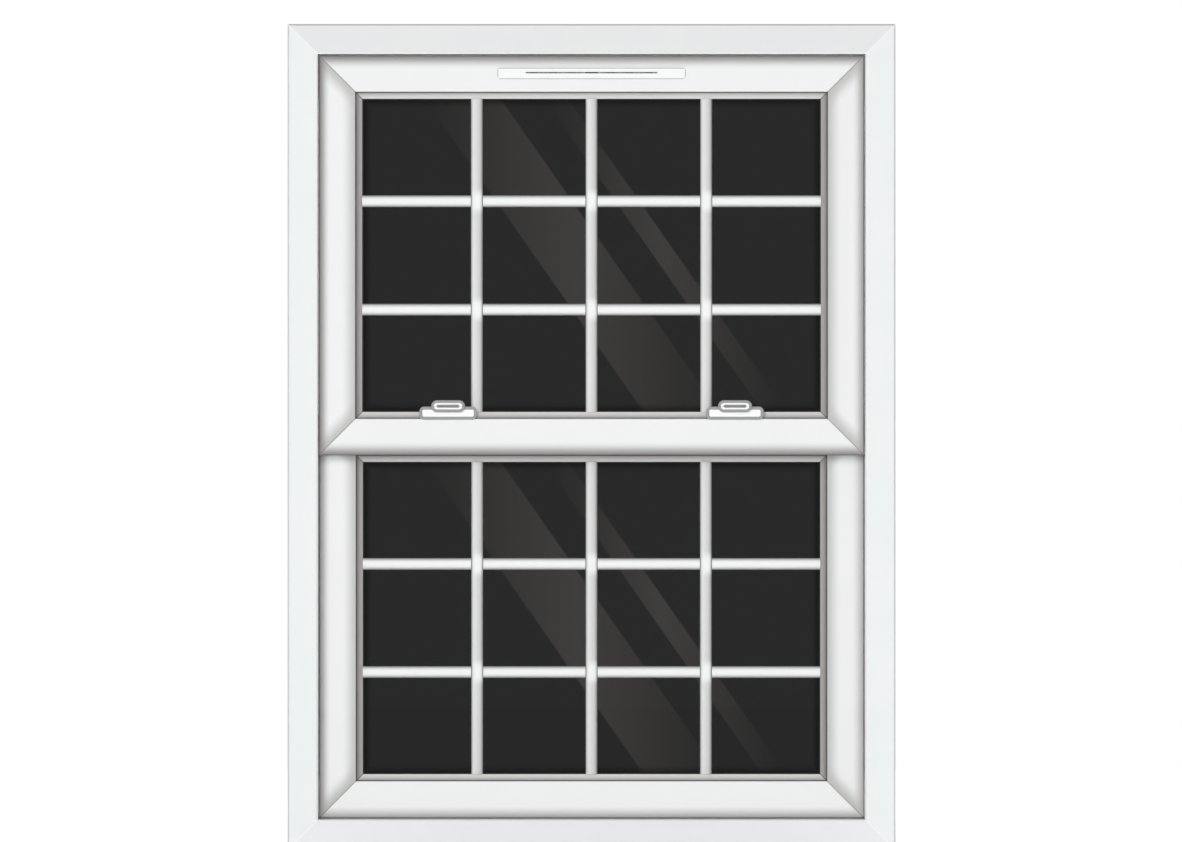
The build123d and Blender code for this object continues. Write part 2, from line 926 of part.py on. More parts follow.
for name, bottom, y in (
    ("upper", upper_bottom, upper_front),
    ("lower", lower_bottom, lower_front),
):
    write(glass_pane(bottom, y + glass_recess), f"{name}_inner_pane")
    write(glass_pane(bottom, y + glass_back - pane_thickness), f"{name}_outer_pane")
    write(spacer_bar(bottom, y), f"{name}_spacer")
    write(glazing_packers(bottom, y), f"{name}_glazing_packers")
    gaskets = [sash_ring(section, bottom, y).part for section in (bead_gasket, rear_gasket)]
    write(collect(gaskets), f"{name}_gaskets")
    write(glazing_bars(bottom, y + glass_recess, -1), f"{name}_room_bars")
    write(glazing_bars(bottom, y + glass_back, 1), f"{name}_outdoor_bars")
    write(guide_shoes(bottom, y), f"{name}_guide_shoes")
    write(edge_seals(bottom, y), f"{name}_edge_seals")

rod_length = tube_bottom + balance_engagement + sash_travel - upper_bottom
write(balance_rods(upper_bottom, upper_front, rod_length), "upper_balance_rods")
rod_length = tube_bottom + balance_engagement - lower_bottom
write(balance_rods(lower_bottom, lower_front, rod_length), "lower_balance_rods")

# Lower sash
with BuildPart() as lower_top_rail:
    add(sash_member("top", lower_bottom, lower_front))
    add(cam_slots(lower_front - cut_margin, lower_front + front_wall).part, mode=Mode.SUBTRACT)
    add(collect(keep_screws).part, mode=Mode.SUBTRACT)
write(lower_top_rail, "lower_top_rail")

with BuildPart() as lower_bottom_rail:
    add(sash_member("bottom", lower_bottom, lower_front))
write(lower_bottom_rail, "lower_bottom_rail")

with BuildPart() as lower_left_stile:
    add(sash_member("left", lower_bottom, lower_front))
write(lower_left_stile, "lower_left_stile")

with BuildPart() as lower_right_stile:
    add(sash_member("right", lower_bottom, lower_front))
write(lower_right_stile, "lower_right_stile")

with BuildPart() as lower_reinforcements:
    add(sash_reinforcements(lower_bottom, lower_front).part)
write(lower_reinforcements, "lower_reinforcements")

# Meeting rail seal on the upper sash's back
with BuildPart() as meeting_seal:
    add(
        block(
            -opening_width / 2 + sash_face,
            opening_width / 2 - sash_face,
            sash_back,
            lower_front - running_clearance,
            upper_bottom + meeting_seal_rise,
            upper_bottom + meeting_seal_rise + meeting_seal_height,
        )
    )
write(meeting_seal, "meeting_seal")

# Keeps on the lower sash's top rail
with BuildPart() as catch_keeps:
    for side in (-1, 1):
        middle = (side * keep_centre, lower_front, cam_z)
        with BuildSketch(Plane(origin=middle, x_dir=(1, 0, 0), z_dir=(0, -1, 0))):
            RectangleRounded(2 * keep_half, keep_height, keep_corner)
        extrude(amount=keep_thickness)
    keep_back = lower_front + cut_margin
    add(cam_slots(keep_back - keep_thickness - 2 * cut_margin, keep_back).part, mode=Mode.SUBTRACT)
    add(collect(keep_screws).part, mode=Mode.SUBTRACT)
write(catch_keeps, "catch_keeps")

write(collect(keep_screws), "keep_screws")

# Catches
catch_panel_size = (catch_base_width - 2 * catch_rim, catch_base_height - 2 * catch_rim)


def inlay_plane(x, y, z=(catch_bottom + catch_top) / 2):
    """A plane on a catch's front face, looking towards the room."""
    return Plane(origin=(x, y, z), x_dir=(1, 0, 0), z_dir=(0, -1, 0))


def half_oval(length, height, upper):
    """The part of the catch's oval that lies above the split, or below it."""
    split = (lever_bottom if upper else catch_top) - lever_middle
    away = Align.MAX if upper else Align.MIN
    with BuildSketch() as sketch:
        SlotOverall(length, height)
        with Locations((0, split)):
            Rectangle(length, height, align=(Align.CENTER, away), mode=Mode.SUBTRACT)
    return sketch.sketch


def half_inlay(upper):
    """The white inlay of half the oval, open along the finger slot."""
    with BuildSketch() as sketch:
        add(half_oval(lever_length - 2 * lever_rim, lever_height - 2 * lever_rim, upper))
        SlotOverall(lever_slot_length, lever_slot_height, mode=Mode.SUBTRACT)
    return sketch.sketch


def oval_block(side, upper):
    """Half of the oval: the lever's grip above the split, or the base's boss below it."""
    with BuildPart() as half:
        with BuildSketch(inlay_plane(side * catch_offset, catch_front, lever_middle)):
            add(half_oval(lever_length, lever_height, upper))
        extrude(amount=lever_thickness)
        rim = half.faces().sort_by(Axis.Y)[0].edges().sort_by(Axis.Z)
        chamfer(rim[1:] if upper else rim[:-1], length=catch_arris)
        with BuildSketch(inlay_plane(side * catch_offset, lever_front, lever_middle)):
            add(half_oval(lever_length - 2 * lever_rim, lever_height - 2 * lever_rim, upper))
        extrude(amount=-inlay_depth, mode=Mode.SUBTRACT)
        with BuildSketch(inlay_plane(side * catch_offset, lever_front, lever_middle)):
            SlotOverall(lever_slot_length, lever_slot_height)
        extrude(amount=-lever_slot_depth, mode=Mode.SUBTRACT)
    return half


def catch_base(side):
    """The die-cast base, seated on the rail's edge and the bead, with its pocket and its boss."""
    middle = side * catch_offset
    with BuildPart() as base:
        with BuildSketch(inlay_plane(middle, catch_front)):
            RectangleRounded(catch_base_width, catch_base_height, catch_corner)
        extrude(amount=-catch_base_depth)
        with BuildSketch(Plane(origin=(middle, 0, 0), x_dir=(0, 1, 0), z_dir=(1, 0, 0))):
            with BuildLine():
                Polyline(
                    (upper_front, catch_bottom - cut_margin),
                    (upper_front, rail_top + seat_clearance),
                    (catch_back, rail_top + seat_rise),
                    (catch_back, catch_bottom - cut_margin),
                    close=True,
                )
            make_face()
        extrude(amount=catch_base_width, both=True, mode=Mode.SUBTRACT)
        with BuildSketch(inlay_plane(middle, catch_front)):
            RectangleRounded(*catch_panel_size, catch_corner - catch_rim)
        extrude(amount=-inlay_depth, mode=Mode.SUBTRACT)
        add(oval_block(side, upper=False).part)
        add(catch_holes(running_clearance).part, mode=Mode.SUBTRACT)
        add(catch_screws.part, mode=Mode.SUBTRACT)
    return base


def catch_lever(side):
    """The lever's grip, its neck and its spindle, cast in one piece."""
    pivot = side * spindle_x
    cam_top = cam_z + cam_thickness / 2
    with BuildPart() as lever:
        add(oval_block(side, upper=True).part)
        with BuildSketch(Plane.XY.offset(lever_bottom)):
            with Locations((pivot, (catch_front + spindle_y) / 2)):
                Rectangle(lever_neck_width, spindle_y - catch_front)
            with Locations((pivot, spindle_y)):
                Circle(lever_neck_width / 2)
        extrude(amount=lever_neck_height)
        with BuildSketch(Plane.XY.offset(lever_bottom)):
            with Locations((pivot, spindle_y)):
                Circle(spindle_radius)
        extrude(amount=cam_top + cam_seat - lever_bottom)
        with BuildSketch(Plane.XY.offset(cam_top + cam_seat)):
            with Locations((pivot, spindle_y)):
                Circle(spindle_tip_radius)
        extrude(amount=-spindle_tip_length)
    return lever


def lever_ring(side):
    """The white inlay in the lever's grip."""
    with BuildPart() as ring:
        with BuildSketch(inlay_plane(side * catch_offset, lever_front, lever_middle)):
            add(half_inlay(upper=True))
        extrude(amount=-inlay_depth)
    return ring


def catch_cam(side):
    """The flat locking cam on the spindle's lower end."""
    low = cam_z - cam_thickness / 2
    tail = cam_width / 2
    middle = side * (spindle_x + (cam_reach - tail) / 2)
    with BuildPart() as cam:
        with BuildSketch(Plane.XY.offset(low)):
            with Locations((middle, spindle_y)):
                SlotOverall(cam_reach + tail, cam_width)
            with Locations((side * spindle_x, spindle_y)):
                Circle(spindle_tip_radius, mode=Mode.SUBTRACT)
        extrude(amount=cam_thickness)
    return cam


catch_screws = collect(
    [screw((x, y, catch_top), (0, 0, -1), catch_screw_length) for x, y in catch_screw_places]
)
write(catch_screws, "catch_screws")

with BuildPart() as catch_panels:
    for side in (-1, 1):
        with BuildSketch(inlay_plane(side * catch_offset, catch_front)):
            RectangleRounded(*catch_panel_size, catch_corner - catch_rim)
        with BuildSketch(inlay_plane(side * catch_offset, lever_front, lever_middle)):
            add(half_inlay(upper=False))
    extrude(amount=-inlay_depth)
write(catch_panels, "catch_panels")

for side, name in ((-1, "left"), (1, "right")):
    write(catch_base(side), f"{name}_catch_base")
    write(catch_lever(side), f"{name}_catch_lever")
    write(lever_ring(side), f"{name}_lever_ring")
    write(catch_cam(side), f"{name}_catch_cam")

# Trickle vent
vent_pitch = vent_slot_width / vent_window_count
vent_middle_window = vent_window_count // 2
window_places = [
    (index - vent_middle_window) * vent_pitch
    for index in range(vent_window_count)
    if index != vent_middle_window
]
finger_window = finger_width + shutter_travel + cut_margin
vent_front = upper_front - vent_plate_thickness
half_rout = vent_rout_height / 2
rail_out = half_rout - vent_rout_clearance
rail_in = rail_out - vent_rail_thickness
shutter_half_height = rail_in - running_clearance
shutter_y = upper_front + running_clearance
shutter_back = shutter_y + shutter_thickness
clip_outer = vent_rout_width / 2 - running_clearance
clip_inner = clip_outer - vent_clip_width
shutter_half_width = clip_inner - shutter_travel - cut_margin


def vent_plane(y):
    """A plane across the vent, looking towards the room."""
    return Plane(origin=(0, y, vent_z), x_dir=(1, 0, 0), z_dir=(0, -1, 0))


with BuildPart() as vent_cover:
    with BuildSketch(vent_plane(upper_front)):
        RectangleRounded(vent_width, vent_height, vent_corner_radius)
    extrude(amount=vent_plate_thickness)
    chamfer(vent_cover.faces().sort_by(Axis.Y)[0].edges(), length=vent_arris)
    with BuildSketch(vent_plane(vent_front)):
        with Locations((0, vent_slot_rise)):
            SlotOverall(vent_slot_width, vent_slot_height)
    extrude(amount=-vent_plate_thickness / 2, mode=Mode.SUBTRACT)
    with BuildSketch(vent_plane(vent_front)):
        for x in window_places:
            with Locations((x, vent_slot_rise)):
                Rectangle(shutter_travel, vent_slot_height)
        with Locations((0, vent_slot_rise)):
            Rectangle(finger_window, vent_slot_height)
    extrude(amount=-vent_plate_thickness, mode=Mode.SUBTRACT)
    lip_y = shutter_back + running_clearance
    for turn in (-1, 1):
        x = clip_outer
        ends = sorted((vent_z + turn * rail_in, vent_z + turn * rail_out))
        add(block(-x, x, upper_front, lip_y, *ends))
        ends = sorted((vent_z + turn * (rail_in - vent_rail_hook), vent_z + turn * rail_out))
        add(block(-x, x, lip_y, lip_y + vent_rail_thickness, *ends))
        ends = sorted((turn * clip_inner, turn * clip_outer))
        add(block(*ends, upper_front, lip_y, vent_z - rail_out, vent_z + rail_out))
write(vent_cover, "vent_cover")

slot_z = vent_z + vent_slot_rise
slot_low, slot_high = slot_z - vent_slot_height / 2, slot_z + vent_slot_height / 2
finger_low, finger_high = slot_low + finger_clearance, slot_high - finger_clearance
finger_ends = (-(shutter_travel + finger_width) / 2, -(shutter_travel - finger_width) / 2)
shutter_low, shutter_high = vent_z - shutter_half_height, vent_z + shutter_half_height
with BuildPart() as vent_shutter:
    x = shutter_half_width
    add(block(-x, x, shutter_y, shutter_back, shutter_low, shutter_high))
    for x in window_places:
        ends = (x - shutter_travel / 2, x + shutter_travel / 2)
        y0, y1 = shutter_y - cut_margin, shutter_back + cut_margin
        add(block(*ends, y0, y1, slot_low, slot_high), mode=Mode.SUBTRACT)
    add(block(*finger_ends, vent_front + finger_setback, shutter_y, finger_low, finger_high))
write(vent_shutter, "vent_shutter")

hood_half = hood_height / 2
with BuildPart() as vent_hood:
    with BuildSketch(Plane(origin=(0, sash_back, vent_z), x_dir=(0, 1, 0), z_dir=(1, 0, 0))):
        with BuildLine():
            Polyline(
                (0, hood_half),
                (hood_flat, hood_half),
                (hood_depth, hood_half - hood_slope_end),
                (hood_depth, -hood_half),
                (0, -hood_half),
                close=True,
            )
        make_face()
    extrude(amount=vent_width / 2, both=True)
    with BuildSketch(Plane(origin=(0, sash_back, vent_z), x_dir=(0, 1, 0), z_dir=(1, 0, 0))):
        with BuildLine():
            Polyline(
                (-cut_margin, hood_half - hood_wall),
                (hood_flat, hood_half - hood_wall),
                (hood_depth - hood_wall, hood_half - hood_slope_end - hood_wall),
                (hood_depth - hood_wall, -hood_half - cut_margin),
                (-cut_margin, -hood_half - cut_margin),
                close=True,
            )
        make_face()
    extrude(amount=vent_width / 2 - hood_end, both=True, mode=Mode.SUBTRACT)
    add(vent_screws.part, mode=Mode.SUBTRACT)
write(vent_hood, "vent_hood")
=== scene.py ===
"""A white PVC-U vertical sliding sash window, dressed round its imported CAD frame.

Lengths are in metres, with +Z up, +X to the right seen from the room and +Y towards the outdoor side.
"""

import logging
import math
from collections.abc import Sequence
from dataclasses import dataclass, replace
from enum import Enum
from itertools import product
from typing import Any

import bmesh
import bpy
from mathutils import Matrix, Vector
from mathutils.geometry import tessellate_polygon


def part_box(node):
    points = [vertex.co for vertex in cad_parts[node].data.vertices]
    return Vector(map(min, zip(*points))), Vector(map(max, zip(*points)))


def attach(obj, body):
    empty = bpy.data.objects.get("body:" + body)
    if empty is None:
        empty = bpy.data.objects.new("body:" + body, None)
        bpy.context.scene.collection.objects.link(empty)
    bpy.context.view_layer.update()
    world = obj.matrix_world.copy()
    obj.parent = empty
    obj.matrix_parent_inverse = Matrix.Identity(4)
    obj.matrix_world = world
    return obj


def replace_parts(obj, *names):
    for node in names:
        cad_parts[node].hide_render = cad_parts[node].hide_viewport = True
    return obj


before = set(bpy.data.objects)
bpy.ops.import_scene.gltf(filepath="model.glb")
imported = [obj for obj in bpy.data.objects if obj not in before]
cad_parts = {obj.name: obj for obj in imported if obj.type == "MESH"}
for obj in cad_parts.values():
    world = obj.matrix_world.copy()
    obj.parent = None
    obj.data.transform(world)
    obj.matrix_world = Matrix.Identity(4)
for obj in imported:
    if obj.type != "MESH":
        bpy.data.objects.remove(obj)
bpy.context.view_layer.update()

MM = 0.001
CORNERS = ((-1, -1), (1, -1), (1, 1), (-1, 1))
log = logging.getLogger("sash_window")

Point = tuple[float, float, float]
Colour = tuple[float, float, float, float]
Faces = list[list[int]]
Mesh = bpy.types.Mesh
Piece = bpy.types.Object
Material = bpy.types.Material
Tree = bpy.types.NodeTree
Node = bpy.types.Node
Socket = bpy.types.NodeSocket


class Grain(Enum):
    """The way that a piece was drawn or extruded, as the scale of its stretched pattern."""

    EVEN = (1.0, 1.0, 1.0)
    LEVEL = (0.02, 1.0, 1.0)
    UPRIGHT = (1.0, 1.0, 0.02)


class Face(Enum):
    """The side of a sash that a piece lies on, as the direction it faces."""

    ROOM = -1
    OUTDOOR = 1


def linear(code: str) -> Colour:
    """Turns an sRGB hex value into a linear colour.

    Args:
        code: A colour such as "#eef0f1".

    Returns:
        The linear red, green and blue, and an alpha of 1.
    """
    parts = [int(code[start : start + 2], 16) / 255 for start in (1, 3, 5)]
    red, green, blue = (
        part / 12.92 if part <= 0.04045 else ((part + 0.055) / 1.055) ** 2.4 for part in parts
    )
    return (red, green, blue, 1.0)


WHITE = linear("#ffffff")


def add_node(tree: Tree, kind: str, inputs: dict[str | int, Any] | None = None, **settings: Any) -> Node:
    """Adds a node with its settings, its values and its links.

    Args:
        tree: The tree that gets the node.
        kind: The node's type name.
        inputs: For each input, by name or number, a value, an output socket, or a node, which stands
            for its first output.
        settings: Values for the node's own properties.

    Returns:
        The new node.
    """
    node = tree.nodes.new(kind)
    for name, value in settings.items():
        setattr(node, name, value)
    for key, value in (inputs or {}).items():
        if isinstance(value, Node):
            value = value.outputs[0]
        if isinstance(value, Socket):
            tree.links.new(value, node.inputs[key])
        else:
            node.inputs[key].default_value = value
    return node


def gap(tree: Tree, value: Node | Socket, place: float) -> Node:
    """Adds the nodes that measure how far a value lies from a place, to either side."""
    offset = add_node(tree, "ShaderNodeMath", {0: value, 1: place}, operation="SUBTRACT")
    return add_node(tree, "ShaderNodeMath", {0: offset}, operation="ABSOLUTE")


def cleared_tree(owner: Material | bpy.types.World) -> Tree:
    """Turns on the node tree of a material or a world, and empties it."""
    owner.use_nodes = True
    owner.node_tree.nodes.clear()
    return owner.node_tree


def link_mesh(name: str, mesh: Mesh) -> Piece:
    """Puts a mesh into the scene as an object at the origin."""
    piece = bpy.data.objects.new(name, mesh)
    bpy.context.scene.collection.objects.link(piece)
    return piece


def raw_mesh(name: str, points: Sequence[Point], faces: Sequence[Sequence[int]] = ()) -> Mesh:
    """Makes a mesh of points, and of faces turned as they are given."""
    mesh = bpy.data.meshes.new(name)
    mesh.from_pydata(points, [], faces)
    return mesh


def closed_mesh(name: str, points: Sequence[Point], faces: Faces) -> Mesh:
    """Makes a mesh of closed shells, with every face turned outwards."""
    mesh = raw_mesh(name, points, faces)
    shell = bmesh.new()
    shell.from_mesh(mesh)
    bmesh.ops.recalc_face_normals(shell, faces=shell.faces)
    shell.to_mesh(mesh)
    shell.free()
    return mesh


def bridge(first: int, second: int, count: int) -> Faces:
    """Gives the faces between two rings of points.

    Args:
        first: The number of the first ring's first point.
        second: The number of the second ring's first point.
        count: How many points each ring has.

    Returns:
        One face for each side of the rings.
    """
    sides = [(side, (side + 1) % count) for side in range(count)]
    return [[first + here, first + there, second + there, second + here] for here, there in sides]


def boxes_mesh(name: str, boxes: Sequence[tuple[Point, Point]]) -> Mesh:
    """Makes one mesh of several boxes, each given by its lowest and highest corner."""
    sides = ((0, 1, 3, 2), (4, 6, 7, 5), (0, 4, 5, 1), (2, 3, 7, 6), (0, 2, 6, 4), (1, 5, 7, 3))
    points = [corner for low, high in boxes for corner in product(*zip(low, high))]
    faces = [[8 * box + index for index in side] for box in range(len(boxes)) for side in sides]
    return closed_mesh(name, points, faces)


def dress(material: Material, *names: str) -> None:
    """Gives each named CAD node a finished material."""
    for name in names:
        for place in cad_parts[name].material_slots:
            place.material = material


class GrowthTree:
    """A geometry tree with named inputs, which ends in a material and is run on a base mesh."""

    def __init__(self, name: str, inputs: dict[str, str]) -> None:
        """Starts the tree.

        Args:
            name: The tree's name.
            inputs: The kind of value that each named input takes, such as Float.
        """
        self.tree = bpy.data.node_groups.new(name, "GeometryNodeTree")
        sockets = self.tree.interface
        sockets.new_socket("Geometry", in_out="OUTPUT", socket_type="NodeSocketGeometry")
        kinds = {"Geometry": "Geometry", **inputs, "Material": "Material"}
        self.identifiers = {
            label: sockets.new_socket(label, in_out="INPUT", socket_type=f"NodeSocket{kind}").identifier
            for label, kind in kinds.items()
        }
        self.given = add_node(self.tree, "NodeGroupInput").outputs

    def end(self, geometry: Node) -> "GrowthTree":
        """Ends the tree in Realize Instances and Set Material, and gives it back."""
        real = add_node(self.tree, "GeometryNodeRealizeInstances", {"Geometry": geometry})
        values = {"Geometry": real, "Material": self.given["Material"]}
        dressed = add_node(self.tree, "GeometryNodeSetMaterial", values)
        add_node(self.tree, "NodeGroupOutput", {0: dressed})
        return self

    def run(self, name: str, base: Mesh, values: dict[str, Any]) -> Piece:
        """Runs the tree on a base mesh and keeps the result as a plain mesh.

        Args:
            name: The finished piece's name.
            base: The mesh that the tree starts from.
            values: The value of each named input.

        Returns:
            The finished piece, with no modifier left on it.
        """
        source = link_mesh(f"{name}_base", base)
        modifier = source.modifiers.new("grow", "NODES")
        modifier.node_group = self.tree
        for label, value in values.items():
            modifier[self.identifiers[label]] = value
        graph = bpy.context.evaluated_depsgraph_get()
        mesh = bpy.data.meshes.new_from_object(source.evaluated_get(graph))
        source.modifiers.remove(modifier)
        bpy.data.objects.remove(source)
        return link_mesh(name, mesh)


class Surface:
    """A material in the making: its tree, its shader and the object's own coordinates."""

    def __init__(self, name: str, roughness: float, values: dict[str, Any] | None = None) -> None:
        """Starts the material.

        Args:
            name: The material's name.
            roughness: The shader's roughness, before a pattern spreads it.
            values: Further plain values for the shader's sockets.
        """
        self.material = bpy.data.materials.new(name)
        self.roughness = roughness
        self.tree = cleared_tree(self.material)
        plain = {"Roughness": roughness, **(values or {})}
        self.shader = add_node(self.tree, "ShaderNodeBsdfPrincipled", plain)
        add_node(self.tree, "ShaderNodeOutputMaterial", {"Surface": self.shader})
        coordinates = add_node(self.tree, "ShaderNodeTexCoord").outputs
        self.place, self.normal = coordinates["Object"], coordinates["Normal"]

    def fade(
        self,
        colour: Socket | Colour,
        measure: Node | Socket,
        limits: tuple[float, float],
        tone: Socket | str,
    ) -> Socket:
        """Fades a colour into another tone where a measure goes from one limit to the other.

        Args:
            colour: The colour away from the tone.
            measure: What the fade follows.
            limits: The measure at full tone, and the measure at which the tone has gone.
            tone: The tone, as a socket or as its sRGB hex value.

        Returns:
            The faded colour.
        """
        ends = {0: measure, 1: limits[0], 2: limits[1], 3: 1.0, 4: 0.0}
        share = add_node(self.tree, "ShaderNodeMapRange", ends, interpolation_type="SMOOTHSTEP")
        values = {0: share, 6: colour, 7: linear(tone) if isinstance(tone, str) else tone}
        return add_node(self.tree, "ShaderNodeMix", values, data_type="RGBA").outputs[2]

    def marks(
        self, width: float, detail: float, grain: Grain = Grain.EVEN, distortion: float = 0.0
    ) -> Node:
        """Adds a pattern of noise marks in the object's own coordinates.

        Args:
            width: How wide a mark is.
            detail: How much finer detail the marks have.
            grain: The way that they are stretched.
            distortion: How much they are stirred.

        Returns:
            The marks as a pattern.
        """
        stretched = add_node(self.tree, "ShaderNodeMapping", {"Vector": self.place, "Scale": grain.value})
        values = {"Vector": stretched, "Scale": 1 / width, "Detail": detail, "Distortion": distortion}
        return add_node(self.tree, "ShaderNodeTexNoise", values)

    def mottle(
        self, colour: str, shade: str, width: float, detail: float, distortion: float = 0.0
    ) -> tuple[Node, Socket]:
        """Adds clouds of two tones.

        Args:
            colour: The first tone's sRGB hex value.
            shade: The second tone's sRGB hex value.
            width: How wide a cloud is.
            detail: How much finer detail the clouds have.
            distortion: How much they are stirred.

        Returns:
            The clouds as a pattern, and as a colour.
        """
        clouds = self.marks(width, detail, distortion=distortion)
        tones = {0: clouds, 6: linear(colour), 7: linear(shade)}
        return clouds, add_node(self.tree, "ShaderNodeMix", tones, data_type="RGBA").outputs[2]

    def finish(
        self,
        colour: Socket,
        relief: Node,
        strength: float,
        depth: float = 0.1 * MM,
        gloss: Node | Socket | None = None,
        spread: float = 0.06,
    ) -> Material:
        """Gives the shader its colour, its relief and its uneven gloss.

        Args:
            colour: The base colour.
            relief: The pattern that stands out as relief.
            strength: How strongly the relief shows.
            depth: How deep the relief is.
            gloss: The pattern that the roughness follows, if any.
            spread: How far the roughness goes up and down with it.

        Returns:
            The finished material.
        """
        values = {"Strength": strength, "Distance": depth, "Height": relief}
        links = {"Base Color": colour, "Normal": add_node(self.tree, "ShaderNodeBump", values).outputs[0]}
        if gloss is not None:
            ends = {0: gloss, 3: self.roughness - spread, 4: self.roughness + spread}
            links["Roughness"] = add_node(self.tree, "ShaderNodeMapRange", ends).outputs[0]
        for name, socket in links.items():
            self.tree.links.new(socket, self.shader.inputs[name])
        return self.material


@dataclass(frozen=True)
class Outline:
    """The rectangle that a mitred frame fills, seen from the room."""

    half_width: float
    half_height: float
    middle: float

    def loop(self, name: str, section: Sequence[tuple[float, float]]) -> Mesh:
        """Runs a section round the rectangle, with a mitre at each corner.

        Args:
            name: The mesh's name.
            section: The section's corners, each as its distance in from the rectangle and its y.

        Returns:
            The closed mesh.
        """
        points = [
            (x * (self.half_width - inset), y, self.middle + z * (self.half_height - inset))
            for x, z in CORNERS
            for inset, y in section
        ]
        count = len(section)
        faces: Faces = []
        for corner in range(len(CORNERS)):
            faces += bridge(corner * count, (corner + 1) % len(CORNERS) * count, count)
        return closed_mesh(name, points, faces)

    def distances(self, surface: Surface) -> tuple[Node, Node, Node]:
        """Adds the nodes that measure a point against the rectangle.

        Args:
            surface: The surface that the point is on.

        Returns:
            How far the point lies in from the nearest side, how far it lies past the nearest mitre,
            which is above nothing on the upright lengths, and how far it lies from that mitre.
        """
        tree = surface.tree
        parts = add_node(tree, "ShaderNodeSeparateXYZ", {0: surface.place}).outputs
        sideways, endways = (
            add_node(tree, "ShaderNodeMath", {0: half, 1: gap(tree, part, place)}, operation="SUBTRACT")
            for half, part, place in (
                (self.half_width, parts[0], 0.0),
                (self.half_height, parts[2], self.middle),
            )
        )
        inward = add_node(tree, "ShaderNodeMath", {0: sideways, 1: endways}, operation="MINIMUM")
        past = add_node(tree, "ShaderNodeMath", {0: endways, 1: sideways}, operation="SUBTRACT")
        return inward, past, gap(tree, past, 0.0)


@dataclass(frozen=True)
class ExtrudedPvcU:
    """White PVC-U profile, extruded and welded: an even satin skin with faint lines along its length.

    The eye gets a soft broad highlight, lines that run with the extrusion and the cleaned weld groove
    across each corner, with painted shade on the rounded outer edges, near the corners and along the
    inner edges, a painted shadow line at the outer edge and a painted highlight on an inner arris.
    """

    name: str
    colour: str
    shade: str
    grain: Grain
    outline: Outline
    # Painted shade round the outer edges: full at the first limit in from the outline, gone at the second.
    edge_shade: str = "#ffffff"
    edge_shade_limits: tuple[float, float] = (0.0, 18 * MM)
    # A painted shadow line just inside the outline, where the gap to the frame is.
    seam_shadow: str = "#7a7775"
    seam_shadow_limits: tuple[float, float] | None = None
    # Painted light along the inner edge: painted shade on the sash stiles, a painted highlight on the frame's
    # inner arris.
    inner_painted_light: str = "#ffffff"
    inner_painted_light_limits: tuple[float, float] | None = None
    # Painted shade on the stiles, fading away from each mitre.
    corner_shade: str = "#ffffff"
    corner_shade_width: float = 0.0
    roughness: float = 0.38
    # Die lines are about 0.1 mm wide, drawn coarser so that they show.
    line_width: float = 0.8 * MM
    cloud_width: float = 90 * MM
    weld_width: float = 1.6 * MM
    weld_colour: str = "#8a8886"
    # How far a face looks to the room or outdoors: it is plain at the first, and toned at the second, where
    # the painted shade, highlight and shadow line show.
    turned_away: tuple[float, float] = (0.05, 0.3)

    def build(self) -> Material:
        """Builds the material."""
        surface = Surface(self.name, self.roughness)
        tree = surface.tree
        lines = surface.marks(self.line_width, detail=3.0, grain=self.grain)
        _, plain = surface.mottle(self.colour, self.shade, self.cloud_width, detail=2.0)
        inward, _, from_weld = self.outline.distances(surface)
        colour = plain
        # Painted shade along the stiles' inner edges, a painted highlight along the frame's inner arris.
        if self.inner_painted_light_limits:
            colour = surface.fade(colour, inward, self.inner_painted_light_limits, self.inner_painted_light)
        # Painted shade on the stiles near each mitre.
        if self.corner_shade_width:
            colour = surface.fade(colour, from_weld, (0.0, self.corner_shade_width), self.corner_shade)
        # Painted shade round the outer edges.
        colour = surface.fade(colour, inward, self.edge_shade_limits, self.edge_shade)
        # A painted shadow line just inside the outline.
        if self.seam_shadow_limits:
            colour = surface.fade(colour, inward, self.seam_shadow_limits, self.seam_shadow)
        colour = surface.fade(colour, from_weld, (0.0, self.weld_width), self.weld_colour)
        # Faces that look sideways lose the painted shade, highlight and shadow line, and the weld line.
        normal = add_node(tree, "ShaderNodeSeparateXYZ", {0: surface.normal}).outputs
        colour = surface.fade(colour, gap(tree, normal[1], 0.0), self.turned_away, plain)
        ends = {0: from_weld, 1: 0.0, 2: self.weld_width, 3: -1.0, 4: 0.0}
        groove = add_node(tree, "ShaderNodeMapRange", ends)
        relief = add_node(tree, "ShaderNodeMath", {0: lines, 1: groove}, operation="ADD")
        return surface.finish(colour, relief, strength=0.15, gloss=lines, spread=0.05)


